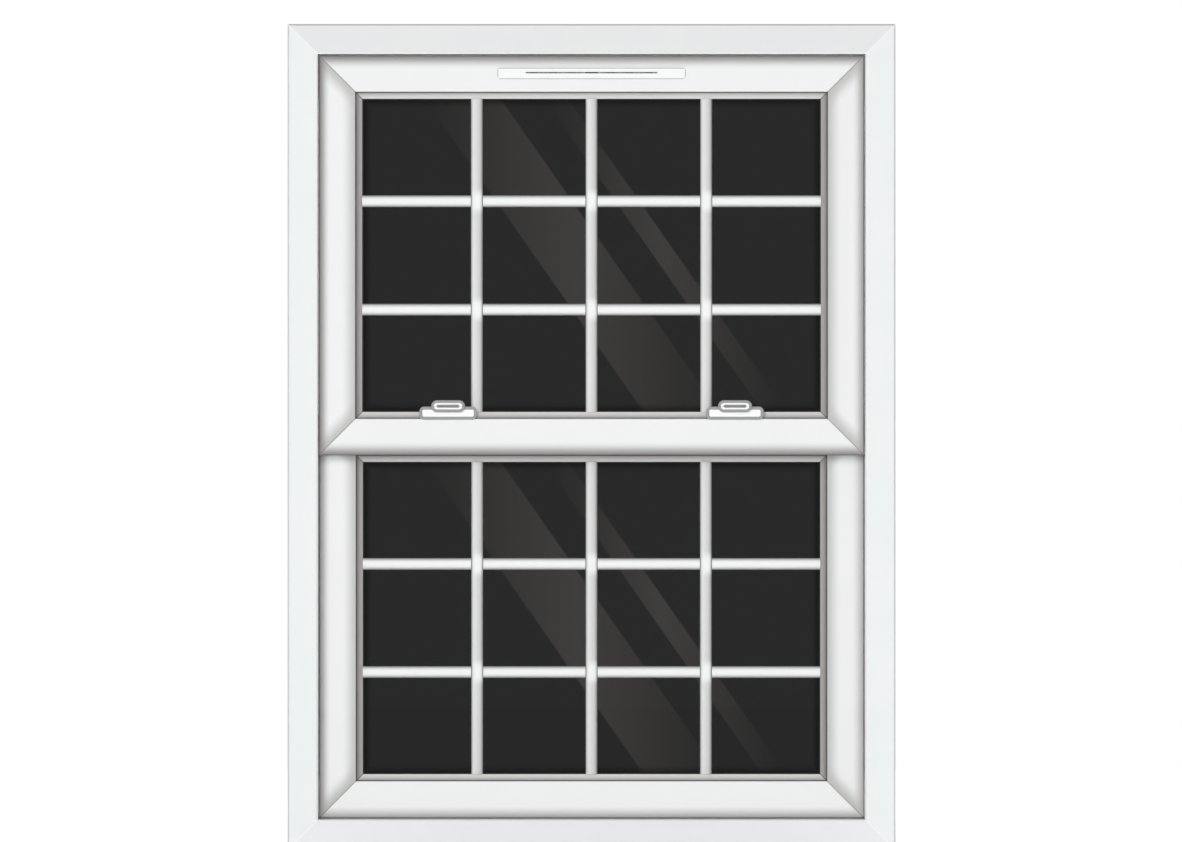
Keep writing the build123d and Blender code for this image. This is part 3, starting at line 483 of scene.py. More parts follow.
@dataclass(frozen=True)
class GlazingBeadPvcU:
    """White PVC-U glazing bead, extruded and mitred, in the shade of its rebate.

    The eye gets a strip with painted shade that pales towards the glass, darker on the side lengths
    than on the others, a dark line where it meets the profile and a dark mitre line at each corner.
    """

    name: str
    glass_y: float
    rail_y: float
    outline: Outline
    sight: tuple[float, float]
    # Painted shade from the rail side to the glass side, for the level lengths and the darker side lengths.
    level_shades: tuple[str, str] = ("#9c9997", "#dcdbda")
    side_shades: tuple[str, str] = ("#817e7c", "#a9a7a5")
    line_colour: str = "#4a4745"
    mitre_width: float = 1.4 * MM
    roughness: float = 0.42
    # The skin's flecks are about 0.3 mm wide, drawn coarser so that they show.
    fleck_width: float = 1.2 * MM

    def build(self) -> Material:
        """Builds the material."""
        surface = Surface(self.name, self.roughness)
        tree = surface.tree
        parts = add_node(tree, "ShaderNodeSeparateXYZ", {0: surface.place}).outputs
        rise = add_node(tree, "ShaderNodeMapRange", {0: parts[1], 1: self.rail_y, 2: self.glass_y})
        inward, past, from_mitre = self.outline.distances(surface)
        upright = add_node(tree, "ShaderNodeMath", {0: past, 1: 0.0}, operation="GREATER_THAN")
        # Painted shade that pales towards the glass, darker on the side lengths.
        tones = [
            add_node(tree, "ShaderNodeMix", {0: rise, 6: linear(rail), 7: linear(glass)}, data_type="RGBA")
            for rail, glass in (self.level_shades, self.side_shades)
        ]
        ends = {0: upright, 6: tones[0].outputs[2], 7: tones[1].outputs[2]}
        colour = add_node(tree, "ShaderNodeMix", ends, data_type="RGBA").outputs[2]
        colour = surface.fade(colour, from_mitre, (0.0, self.mitre_width), self.line_colour)
        colour = surface.fade(colour, inward, self.sight, self.line_colour)
        flecks = surface.marks(self.fleck_width, detail=4.0)
        return surface.finish(colour, flecks, strength=0.12, gloss=flecks)


@dataclass(frozen=True)
class FoamedPvcBar:
    """White foamed PVC glazing bar, extruded: a half-round satin strip, greyer down its slopes.

    The eye gets a pale crown on the cross bars and a softer one on the uprights, which melts into the
    cross bars where they meet; painted shade greys the slopes and the foot, and on the uprights a
    painted highlight lies to the left and painted shade to the right.
    """

    name: str
    crown_y: float
    foot_y: float
    pitch: float
    bar_width: float
    reach: float
    rows: tuple[float, ...]
    # Painted light: the crown tone fades into painted shade at the foot with depth, the uprights get a
    # painted highlight to the left and painted shade to the right, and the cross bars painted shade down
    # their slopes.
    crown: str = "#f3f4f4"
    foot: str = "#8b8a89"
    lit_left_tone: str = "#fbfbfb"
    shaded_right_tone: str = "#c6c5c4"
    slope_shade: str = "#d6d6d6"
    crown_half: float = 1.5 * MM
    blend_height: float = 22 * MM
    # The part of a cross bar's half width in which an upright shows nothing of its own tones.
    blend_start: float = 0.6
    # A little more than half an upright's width, so that its edges count as upright too.
    half_margin: float = 1.02
    roughness: float = 0.42
    # The foam's cells are about 0.1 mm wide, drawn coarser so that they show.
    cell_width: float = 0.9 * MM

    def build(self) -> Material:
        """Builds the material."""
        surface = Surface(self.name, self.roughness)
        tree, half = surface.tree, self.bar_width / 2
        parts = add_node(tree, "ShaderNodeSeparateXYZ", {0: surface.place}).outputs
        # Painted shade towards the foot, by depth.
        colour = surface.fade(linear(self.crown), parts[1], (self.foot_y, self.crown_y), self.foot)
        ends = {0: parts[0], 1: self.pitch / 2, 2: -self.pitch / 2}
        aside = add_node(tree, "ShaderNodeMath", ends, operation="WRAP")
        rightward = add_node(tree, "ShaderNodeMapRange", {0: aside, 1: -half, 2: half})
        # Painted highlight to the left of each upright, painted shade to the right.
        tones = {0: rightward, 6: linear(self.lit_left_tone), 7: linear(self.shaded_right_tone)}
        slope = add_node(tree, "ShaderNodeMix", tones, data_type="RGBA")
        on_upright, inside = (
            add_node(tree, "ShaderNodeMath", {0: gap(tree, part, 0.0), 1: most}, operation="LESS_THAN")
            for part, most in ((aside, half * self.half_margin), (parts[0], self.reach))
        )
        upright = add_node(tree, "ShaderNodeMath", {0: on_upright, 1: inside}, operation="MULTIPLY")
        mask, nearest = upright, None
        for row in self.rows:
            apart = gap(tree, parts[2], row)
            ends = {0: apart, 1: half * self.blend_start, 2: self.blend_height}
            clear = add_node(tree, "ShaderNodeMapRange", ends, interpolation_type="SMOOTHSTEP")
            mask = add_node(tree, "ShaderNodeMath", {0: mask, 1: clear}, operation="MULTIPLY")
            ends = {0: nearest or apart, 1: apart}
            nearest = add_node(tree, "ShaderNodeMath", ends, operation="MINIMUM")
        level = add_node(tree, "ShaderNodeMath", {0: 1.0, 1: upright}, operation="SUBTRACT")
        # Painted shade down the cross bars' slopes.
        sides = surface.fade(WHITE, nearest, (half, self.crown_half), self.slope_shade)
        for share, shading in ((mask, slope.outputs[2]), (level, sides)):
            ends = {0: share, 6: colour, 7: shading}
            mixed = add_node(tree, "ShaderNodeMix", ends, data_type="RGBA", blend_type="MULTIPLY")
            colour = mixed.outputs[2]
        cells = surface.marks(self.cell_width, detail=3.0)
        return surface.finish(colour, cells, strength=0.1, gloss=cells)


@dataclass(frozen=True)
class BodyTintedGlass:
    """Dark grey body-tinted float glass: near black, with one thin clear reflection."""

    name: str
    sight_line: Outline
    colour: str = "#0d0e0e"
    # Float glass has about 1.52; this one is matched to the photograph's faint reflection.
    index: float = 1.34
    # Painted shade that dims the reflection towards the beads, full at the sight line and gone at the rim's
    # width.
    rim_shade: str = "#aeaeae"
    rim: float = 15 * MM

    def build(self) -> Material:
        """Builds the material, whose reflection is dimmed towards the beads by painted shade."""
        values = {"Base Color": linear(self.colour), "Transmission Weight": 1.0, "IOR": self.index}
        surface = Surface(self.name, 0.0, values)
        inward, _, _ = self.sight_line.distances(surface)
        # Painted shade on the reflection, towards the beads.
        shaded = surface.fade(WHITE, inward, (0.0, self.rim), self.rim_shade)
        surface.tree.links.new(shaded, surface.shader.inputs["Specular Tint"])
        return surface.material


@dataclass(frozen=True)
class OvalBand:
    """A coloured band along the outside of the pair of upright oval inlays."""

    reach: float
    height: float
    half_straight: float
    inner_radius: float
    width: float
    colour: str
    softness: float = 0.2 * MM

    def lay(self, surface: Surface, colour: Socket) -> Socket:
        """Adds the nodes that lay the band over a colour.

        Args:
            surface: The surface that gets the band.
            colour: The colour beneath the band.

        Returns:
            The colour with the band on it.
        """
        tree, half = surface.tree, self.width / 2
        parts = add_node(tree, "ShaderNodeSeparateXYZ", {0: surface.place}).outputs
        aside = gap(tree, gap(tree, parts[0], 0.0), self.reach)
        past = add_node(tree, "ShaderNodeMath", {0: aside, 1: self.half_straight}, operation="SUBTRACT")
        end = add_node(tree, "ShaderNodeMath", {0: past, 1: 0.0}, operation="MAXIMUM")
        rise = add_node(tree, "ShaderNodeMath", {0: parts[2], 1: self.height}, operation="SUBTRACT")
        arm = add_node(tree, "ShaderNodeCombineXYZ", {0: end, 2: rise})
        radius = add_node(tree, "ShaderNodeVectorMath", {0: arm}, operation="LENGTH").outputs["Value"]
        distance = gap(tree, radius, self.inner_radius + half)
        return surface.fade(colour, distance, (half, half + self.softness), self.colour)


@dataclass(frozen=True)
class MouldedPlastic:
    """Injection-moulded plastic: a fine spark-eroded grain and slow flow clouds.

    The eye gets an even colour, broken a little by the grain in the highlight.
    """

    name: str
    colour: str
    shade: str
    roughness: float
    # The spark-eroded grain is about 0.1 mm wide, drawn coarser so that it shows.
    grain_width: float = 0.7 * MM
    cloud_width: float = 25 * MM
    relief: float = 0.12
    # Painted shade round a plate's outline, if one is given.
    edge: Outline | None = None
    edge_shade_width: float = 1.7 * MM
    edge_shade: str = "#b4b5b5"
    band: OvalBand | None = None

    def build(self) -> Material:
        """Builds the material."""
        surface = Surface(self.name, self.roughness)
        values = {"Vector": surface.place, "Scale": 1 / self.grain_width}
        grain = add_node(surface.tree, "ShaderNodeTexVoronoi", values, feature="SMOOTH_F1")
        clouds, colour = surface.mottle(self.colour, self.shade, self.cloud_width, detail=3.0, distortion=0.6)
        if self.edge:
            inward, _, _ = self.edge.distances(surface)
            colour = surface.fade(colour, inward, (0.0, self.edge_shade_width), self.edge_shade)
        if self.band:
            colour = self.band.lay(surface, colour)
        return surface.finish(colour, grain, self.relief, depth=0.08 * MM, gloss=clouds)


@dataclass(frozen=True)
class LacqueredZinc:
    """Die-cast zinc under a satin lacquer: the eye gets fine orange peel and a soft metal sheen."""

    name: str
    colour: str
    shade: str
    roughness: float = 0.36
    peel_width: float = 1.4 * MM
    cloud_width: float = 18 * MM

    def build(self) -> Material:
        """Builds the material."""
        values = {"Metallic": 0.15, "Coat Weight": 0.25, "Coat Roughness": 0.2}
        surface = Surface(self.name, self.roughness, values)
        peel = surface.marks(self.peel_width, detail=1.0)
        _, colour = surface.mottle(self.colour, self.shade, self.cloud_width, detail=4.0)
        return surface.finish(colour, peel, strength=0.18, depth=0.08 * MM)


@dataclass(frozen=True)
class WorkedSteel:
    """Bright drawn or pressed steel under zinc: stretched scratches and a faint passivation tint.

    The eye gets a grey metal whose highlight is drawn out along the work.
    """

    name: str
    colour: str
    tint: str
    grain: Grain
    roughness: float = 0.34
    # Scratches are about 0.05 mm wide, drawn coarser so that they show.
    scratch_width: float = 0.35 * MM
    cloud_width: float = 12 * MM

    def build(self) -> Material:
        """Builds the material."""
        surface = Surface(self.name, self.roughness, {"Metallic": 1.0})
        scratches = surface.marks(self.scratch_width, detail=4.0, grain=self.grain)
        _, colour = surface.mottle(self.colour, self.tint, self.cloud_width, detail=4.0)
        return surface.finish(colour, scratches, strength=0.1, depth=0.05 * MM, gloss=scratches, spread=0.12)


@dataclass(frozen=True)
class GalvanisedSteel:
    """Hot-dip galvanised strip: the eye gets the zinc's crystal spangle, each with its own tone."""

    name: str = "hot_dip_galvanised_steel"
    bright: str = "#c3c7c9"
    dull: str = "#969b9e"
    spangle_width: float = 9 * MM
    roughness: float = 0.425

    def build(self) -> Material:
        """Builds the material."""
        surface = Surface(self.name, self.roughness, {"Metallic": 1.0})
        values = {"Vector": surface.place, "Scale": 1 / self.spangle_width}
        spangle = add_node(surface.tree, "ShaderNodeTexVoronoi", values)
        crystals = spangle.outputs["Color"]
        tones = {0: crystals, 6: linear(self.dull), 7: linear(self.bright)}
        tone = add_node(surface.tree, "ShaderNodeMix", tones, data_type="RGBA").outputs[2]
        return surface.finish(tone, spangle, strength=0.1, depth=0.05 * MM, gloss=crystals, spread=0.125)


@dataclass(frozen=True)
class PolypropylenePile:
    """Woven polypropylene pile: the eye gets a soft grey nap with a pale rim of light."""

    name: str = "polypropylene_pile"
    colour: str = "#8d9092"
    shade: str = "#5f6264"
    # Fibres are about 0.05 mm thick, drawn coarser so that they show.
    fibre_width: float = 0.4 * MM
    roughness: float = 0.9

    def build(self) -> Material:
        """Builds the material."""
        surface = Surface(self.name, self.roughness, {"Sheen Weight": 0.4, "Sheen Roughness": 0.5})
        fibres, colour = surface.mottle(self.shade, self.colour, self.fibre_width, detail=2.0)
        return surface.finish(colour, fibres, strength=0.5, depth=0.2 * MM)


@dataclass(frozen=True)
class ExtrudedRubber:
    """Black EPDM rubber, extruded: the eye gets a matt black with a little grey bloom."""

    name: str = "extruded_epdm_rubber"
    colour: str = "#111111"
    bloom: str = "#2a2a2b"
    bloom_width: float = 6 * MM
    # The noise at which the bloom begins and at which it is fullest, and how much it then covers.
    bloom_limits: tuple[float, float] = (0.5, 0.85)
    most_bloom: float = 0.5
    roughness: float = 0.62

    def build(self) -> Material:
        """Builds the material."""
        surface = Surface(self.name, self.roughness)
        bloom = surface.marks(self.bloom_width, detail=6.0)
        ends = {0: bloom, 1: self.bloom_limits[0], 2: self.bloom_limits[1], 3: 0.0, 4: self.most_bloom}
        thin = add_node(surface.tree, "ShaderNodeMapRange", ends)
        tones = {0: thin, 6: linear(self.colour), 7: linear(self.bloom)}
        tone = add_node(surface.tree, "ShaderNodeMix", tones, data_type="RGBA").outputs[2]
        return surface.finish(tone, bloom, strength=0.2)


class Finishes:
    """The finishes that more than one sub-assembly shares, each built once."""

    def __init__(self) -> None:
        """Builds the shared materials."""
        self.rubber = ExtrudedRubber().build()
        self.pile = PolypropylenePile().build()
        self.galvanised = GalvanisedSteel().build()
        self.nylon = MouldedPlastic("moulded_nylon", "#e3e3df", "#d4d4cf", roughness=0.5).build()
        self.packer = MouldedPlastic("moulded_polypropylene", "#2d5a9a", "#264c82", roughness=0.45).build()
        self.screw = WorkedSteel("zinc_plated_screw_steel", "#c4c3bd", "#b2ad9a", Grain.LEVEL).build()
        self.rod = WorkedSteel("bright_drawn_steel", "#b5b6b7", "#a3a4a6", Grain.UPRIGHT).build()
        self.pressed = WorkedSteel("pressed_zinc_plated_steel", "#c0c1c1", "#aeb0b2", Grain.LEVEL).build()
        spacer = WorkedSteel("anodised_aluminium", "#a9aaac", "#9c9da0", Grain.LEVEL, roughness=0.4)
        self.spacer = spacer.build()


def screw_tree() -> GrowthTree:
    """Builds the tree that sets a screw on each point, with its head along the point's axis."""
    growth = GrowthTree("screws_on_points", {"Screw": "Object", "Seed": "Int"})
    tree, given = growth.tree, growth.given
    info = {"Object": given["Screw"]}
    screw = add_node(tree, "GeometryNodeObjectInfo", info, transform_space="ORIGINAL")
    named = {"Name": "axis"}
    axis = add_node(tree, "GeometryNodeInputNamedAttribute", named, data_type="FLOAT_VECTOR")
    aim = add_node(tree, "FunctionNodeAlignRotationToVector", {"Vector": axis}, axis="Z")
    values = {"Points": given["Geometry"], "Instance": screw.outputs["Geometry"], "Rotation": aim}
    placed = add_node(tree, "GeometryNodeInstanceOnPoints", values)
    ends = {2: 0.0, 3: 2 * math.pi, "Seed": given["Seed"]}
    turn = add_node(tree, "FunctionNodeRandomValue", ends, data_type="FLOAT").outputs[1]
    spin = add_node(tree, "ShaderNodeCombineXYZ", {2: turn})
    values = {"Instances": placed, "Rotation": spin}
    return growth.end(add_node(tree, "GeometryNodeRotateInstances", values))


@dataclass
class CrossRecessScrew:
    """A countersunk screw with a cross recess, whose head is level with the origin and faces up."""

    length: float
    radius: float = 2.0 * MM
    head_radius: float = 3.5 * MM
    head_depth: float = 1.5 * MM
    sides: int = 20
    recess_reach: float = 1.9 * MM
    recess_width: float = 0.8 * MM
    recess_depth: float = 1.1 * MM
    recess_taper: float = 0.6
    thread_pitch: float = 1.6 * MM
    thread_height: float = 0.4 * MM
    thread_overlap: float = 0.1 * MM
    thread_flank: float = 0.22
    thread_sides: int = 12
    thread_least: int = 8

    def core(self) -> tuple[list[Point], Faces]:
        """Gives the points and faces of the head with its recess, the shank and the tip."""
        turns = [2 * math.pi * step / self.sides for step in range(self.sides)]
        root = self.radius - self.thread_height
        rings = (
            (self.head_radius, 0.0),
            (self.radius, -self.head_depth),
            (root, -self.head_depth - self.radius / 2),
            (root, -self.length + 2 * self.radius),
        )
        points = [
            (radius * math.cos(turn), radius * math.sin(turn), height)
            for radius, height in rings
            for turn in turns
        ]
        last, tip = len(points) - self.sides, len(points)
        faces: Faces = []
        for start in range(0, last, self.sides):
            faces += bridge(start, start + self.sides, self.sides)
        points.append((0.0, 0.0, -self.length))
        faces += [[last + side, last + (side + 1) % self.sides, tip] for side in range(self.sides)]
        reach, half = self.recess_reach, self.recess_width / 2
        cross = [
            (x * math.cos(turn) - y * math.sin(turn), x * math.sin(turn) + y * math.cos(turn))
            for turn in (quarter * math.pi / 2 for quarter in range(4))
            for x, y in ((reach, -half), (reach, half), (half, half))
        ]
        first, floor = len(points), len(points) + len(cross)
        points += [(x, y, 0.0) for x, y in cross]
        points += [(x * self.recess_taper, y * self.recess_taper, -self.recess_depth) for x, y in cross]
        rim = [Vector(point) for point in points[: self.sides]]
        opening = [Vector(point) for point in points[first:floor]]
        for triangle in tessellate_polygon([rim, opening]):
            faces.append([side if side < self.sides else first + side - self.sides for side in triangle])
        faces += bridge(first, floor, len(cross))
        faces.append([floor + index for index in range(len(cross))])
        return points, faces

    def thread(self, start: int) -> tuple[list[Point], Faces]:
        """Gives the points and faces of the thread's ridge, numbered from a start."""
        top = self.head_depth + self.radius
        run = self.length - top - 2 * self.radius
        steps = max(self.thread_least, int(run / self.thread_pitch * self.thread_sides))
        root = self.radius - self.thread_height - self.thread_overlap
        half = self.thread_pitch * self.thread_flank
        section = ((root, half), (self.radius, 0.0), (root, -half))
        points: list[Point] = []
        for step in range(steps + 1):
            turn, height = 2 * math.pi * step / self.thread_sides, -top - run * step / steps
            points += [
                (radius * math.cos(turn), radius * math.sin(turn), height + rise)
                for radius, rise in section
            ]
        last = start + 3 * steps
        faces = [[start, start + 1, start + 2]]
        for here in range(start, last, 3):
            faces += bridge(here, here + 3, 3)
        return points, [*faces, [last, last + 1, last + 2]]

    def set_row(
        self, name: str, places: Sequence[tuple[Point, Point]], material: Material, seed: int
    ) -> Piece:
        """Sets a row of screws.

        Args:
            name: The piece's name.
            places: For each screw, the middle of its head and the direction that its head faces.
            material: The screws' material.
            seed: The seed of the turn at which each screw stopped.

        Returns:
            The finished piece.
        """
        points, faces = self.core()
        more, ridge = self.thread(len(points))
        pattern = link_mesh("screw_pattern", closed_mesh("cross_recess_screw", points + more, faces + ridge))
        base = raw_mesh(f"{name}_points", [place for place, _ in places])
        axes = base.attributes.new("axis", "FLOAT_VECTOR", "POINT")
        for number, (_, direction) in enumerate(places):
            axes.data[number].vector = direction
        values = {"Screw": pattern, "Material": material, "Seed": seed}
        piece = screw_tree().run(name, base, values)
        bpy.data.objects.remove(pattern)
        return piece


def pile_tree() -> GrowthTree:
    """Builds the tree that grows tufts from the faces of a base that look along an axis."""
    floats = ("Density", "Pile height", "Tuft radius", "Tip radius", "Least size", "Most size")
    kinds = {**dict.fromkeys(floats, "Float"), "Lean": "Vector", "Axis": "Vector", "Seed": "Int"}
    growth = GrowthTree("pile_tufts", kinds)
    tree, given, seed = growth.tree, growth.given, growth.given["Seed"]
    normal = add_node(tree, "GeometryNodeInputNormal")
    ends = {0: normal, 1: given["Axis"]}
    facing = add_node(tree, "ShaderNodeVectorMath", ends, operation="DOT_PRODUCT").outputs["Value"]
    outward = add_node(
        tree, "FunctionNodeCompare", {0: facing, 1: 0.5}, data_type="FLOAT", operation="GREATER_THAN"
    )
    values = {"Mesh": given["Geometry"], "Selection": outward, "Density": given["Density"], "Seed": seed}
    points = add_node(tree, "GeometryNodeDistributePointsOnFaces", values).outputs
    sizes = {"Radius Top": given["Tip radius"], "Radius Bottom": given["Tuft radius"]}
    sizes |= {"Vertices": 4, "Depth": given["Pile height"]}
    tuft = add_node(tree, "GeometryNodeMeshCone", sizes, fill_type="NGON")
    ends = {0: given["Lean"], 1: (-1.0, -1.0, 0.0)}
    back = add_node(tree, "ShaderNodeVectorMath", ends, operation="MULTIPLY")
    ends = {0: back, 1: given["Lean"], "Seed": seed}
    lean = add_node(tree, "FunctionNodeRandomValue", ends, data_type="FLOAT_VECTOR")
    ends = {2: given["Least size"], 3: given["Most size"], "Seed": seed}
    size = add_node(tree, "FunctionNodeRandomValue", ends, data_type="FLOAT").outputs[1]
    values = {"Points": points["Points"], "Rotation": points["Rotation"], "Instance": tuft, "Scale": size}
    placed = add_node(tree, "GeometryNodeInstanceOnPoints", values)
    leaning = add_node(tree, "GeometryNodeRotateInstances", {"Instances": placed, "Rotation": lean})
    both = add_node(tree, "GeometryNodeJoinGeometry", {0: leaning})
    tree.links.new(given["Geometry"], both.inputs[0])
    return growth.end(both)


@dataclass
class PileSeal:
    """A woven pile seal: flat backing strips with tufts that stand on one of their sides."""

    body: str
    axis: Point
    pile_height: float
    seed: int
    density: float = 480000.0
    # Tufts are about 0.5 mm thick, drawn coarser so that they show.
    tuft_radius: float = 0.45 * MM
    tip_radius: float = 0.02 * MM
    tuft_sizes: tuple[float, float] = (0.8, 0.98)
    # The most that a tuft leans to either side, and turns on itself.
    lean: Point = (0.12, 0.12, 6.28)

    def build(self, name: str, strips: Sequence[tuple[Point, Point]], material: Material) -> Piece:
        """Grows the seal's tufts from its strips.

        Args:
            name: The piece's name.
            strips: The lowest and highest corner of each backing strip.
            material: The pile's material.

        Returns:
            The finished piece.
        """
        values = {
            "Density": self.density,
            "Pile height": self.pile_height,
            "Tuft radius": self.tuft_radius,
            "Tip radius": self.tip_radius,
            "Least size": self.tuft_sizes[0],
            "Most size": self.tuft_sizes[1],
            "Lean": self.lean,
            "Axis": self.axis,
            "Seed": self.seed,
            "Material": material,
        }
        piece = pile_tree().run(name, boxes_mesh(f"{name}_backing", strips), values)
        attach(piece, self.body)
        return piece


def twisted_strip_tree() -> GrowthTree:
    """Builds the tree that stands a strip, twisted evenly along its length, on each point."""
    kinds = {"Length": "Float", "Turn length": "Float", "Width": "Float", "Thickness": "Float"}
    growth = GrowthTree("twisted_strips", {**kinds, "Steps": "Int"})
    tree, given = growth.tree, growth.given
    end = add_node(tree, "ShaderNodeCombineXYZ", {2: given["Length"]})
    line = add_node(tree, "GeometryNodeCurvePrimitiveLine", {"End": end})
    resampled = add_node(tree, "GeometryNodeResampleCurve", {"Curve": line, "Count": given["Steps"]})
    along = add_node(tree, "GeometryNodeSplineParameter").outputs["Length"]
    turns = add_node(tree, "ShaderNodeMath", {0: along, 1: given["Turn length"]}, operation="DIVIDE")
    tilt = add_node(tree, "ShaderNodeMath", {0: turns, 1: 2 * math.pi}, operation="MULTIPLY")
    twisted = add_node(tree, "GeometryNodeSetCurveTilt", {"Curve": resampled, "Tilt": tilt})
    sizes = {"Width": given["Width"], "Height": given["Thickness"]}
    profile = add_node(tree, "GeometryNodeCurvePrimitiveQuadrilateral", sizes)
    values = {"Curve": twisted, "Profile Curve": profile, "Fill Caps": True}
    strip = add_node(tree, "GeometryNodeCurveToMesh", values)
    values = {"Points": given["Geometry"], "Instance": strip}
    return growth.end(add_node(tree, "GeometryNodeInstanceOnPoints", values))


def louvre_tree() -> GrowthTree:
    """Builds the tree that repeats a fin along a row from each point."""
    growth = GrowthTree("louvre_fins", {"Count": "Int", "Pitch": "Float", "Fin size": "Vector"})
    tree, given = growth.tree, growth.given
    step = add_node(tree, "ShaderNodeCombineXYZ", {0: given["Pitch"]})
    row = add_node(tree, "GeometryNodeMeshLine", {"Count": given["Count"], "Offset": step}, mode="OFFSET")
    fin = add_node(tree, "GeometryNodeMeshCube", {"Size": given["Fin size"]})
    fins = add_node(tree, "GeometryNodeInstanceOnPoints", {"Points": row, "Instance": fin})
    values = {"Points": given["Geometry"], "Instance": fins}
    return growth.end(add_node(tree, "GeometryNodeInstanceOnPoints", values))


@dataclass
class OuterFrame:
    """The mitred outer frame with its steel and its weather seal."""

    width: float = 912 * MM
    height: float = 1239 * MM
    face: float = 45 * MM
    # Painted shade on the outer chamfer, which shows as a grey outline.
    edge_shade_limits: tuple[float, float] = (1.6 * MM, 3.2 * MM)
    # The width of the painted highlight along the frame's inner arris.
    inner_width: float = 3 * MM
    seal_width: float = 7 * MM
    seal_base: float = 1.2 * MM
    seal_density: float = 300000.0

    def profile(self, name: str, colour: str, shade: str, grain: Grain) -> Material:
        """Builds the material of one kind of frame member."""
        return ExtrudedPvcU(
            name,
            colour,
            shade,
            grain,
            Outline(self.width / 2, self.height / 2, self.height / 2),
            edge_shade="#c3c3c4",
            edge_shade_limits=self.edge_shade_limits,
            inner_painted_light="#fcfcfc",
            inner_painted_light_limits=(self.face, self.face - self.inner_width),
            weld_colour="#f6f7f7",
        ).build()

    def add_weather_seal(self, finishes: Finishes) -> None:
        """Grows the ring of pile on the rear lip, which brushes the lower sash."""
        low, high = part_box("frame_weather_seal")
        back, width = high[1] - self.seal_base, self.seal_width
        inner = high[0] - width
        strips = [((left, back, low[2]), (left + width, high[1], high[2])) for left in (low[0], inner)]
        for foot in (low[2], high[2] - width):
            strips.append(((-inner, back, foot), (inner, high[1], foot + width)))
        seal = PileSeal("frame", (0.0, -1.0, 0.0), back - low[1], 43, self.seal_density)
        piece = seal.build("frame_weather_seal_pile", strips, finishes.pile)
        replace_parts(piece, "frame_weather_seal")

    def build(self, finishes: Finishes) -> None:
        """Dresses the frame's members, their steel and their seal."""
        # Jambs, head and sill are lit and shaded copies of one white: the head, and a little the sill, carry
        # painted shade against the jambs.
        jamb = self.profile("jamb_pvc_u", "#eef0f1", "#eaedee", Grain.UPRIGHT)
        head = self.profile("head_pvc_u", "#e6e7e7", "#e2e3e4", Grain.LEVEL)
        sill = self.profile("sill_pvc_u", "#ecedee", "#e9eaeb", Grain.LEVEL)
        dress(jamb, "frame_left_jamb", "frame_right_jamb")
        dress(head, "frame_head")
        dress(sill, "frame_sill")
        dress(finishes.galvanised, "frame_reinforcements")
        self.add_weather_seal(finishes)
        log.info("outer frame: members, steel and weather seal")


@dataclass
class BalanceGear:
    """The tubes, bushes, blocks, stops and screws that stay in the jamb channels."""

    screw_reach: float = 418.5 * MM
    screw_height: float = 1189 * MM
    tracks: tuple[float, float] = (-33 * MM, 22 * MM)
    screw_length: float = 21 * MM

    def build(self, finishes: Finishes) -> None:
        """Dresses the channel pieces and sets their screws."""
        tube = MouldedPlastic("extruded_pvc_tube", "#e6e6e4", "#dcdcda", roughness=0.35).build()
        dress(tube, "balance_tubes")
        dress(finishes.nylon, "balance_bushes", "balance_blocks", "travel_stops")
        places = [
            ((side * self.screw_reach, y, self.screw_height), (-float(side), 0.0, 0.0))
            for side in (-1, 1)
            for y in self.tracks
        ]
        screw = CrossRecessScrew(self.screw_length)
        piece = screw.set_row("balance_block_screws", places, finishes.screw, 11)
        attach(piece, "frame")
        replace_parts(piece, "balance_screws")
        log.info("balance gear: tubes, bushes, blocks, stops and %d screws", len(places))


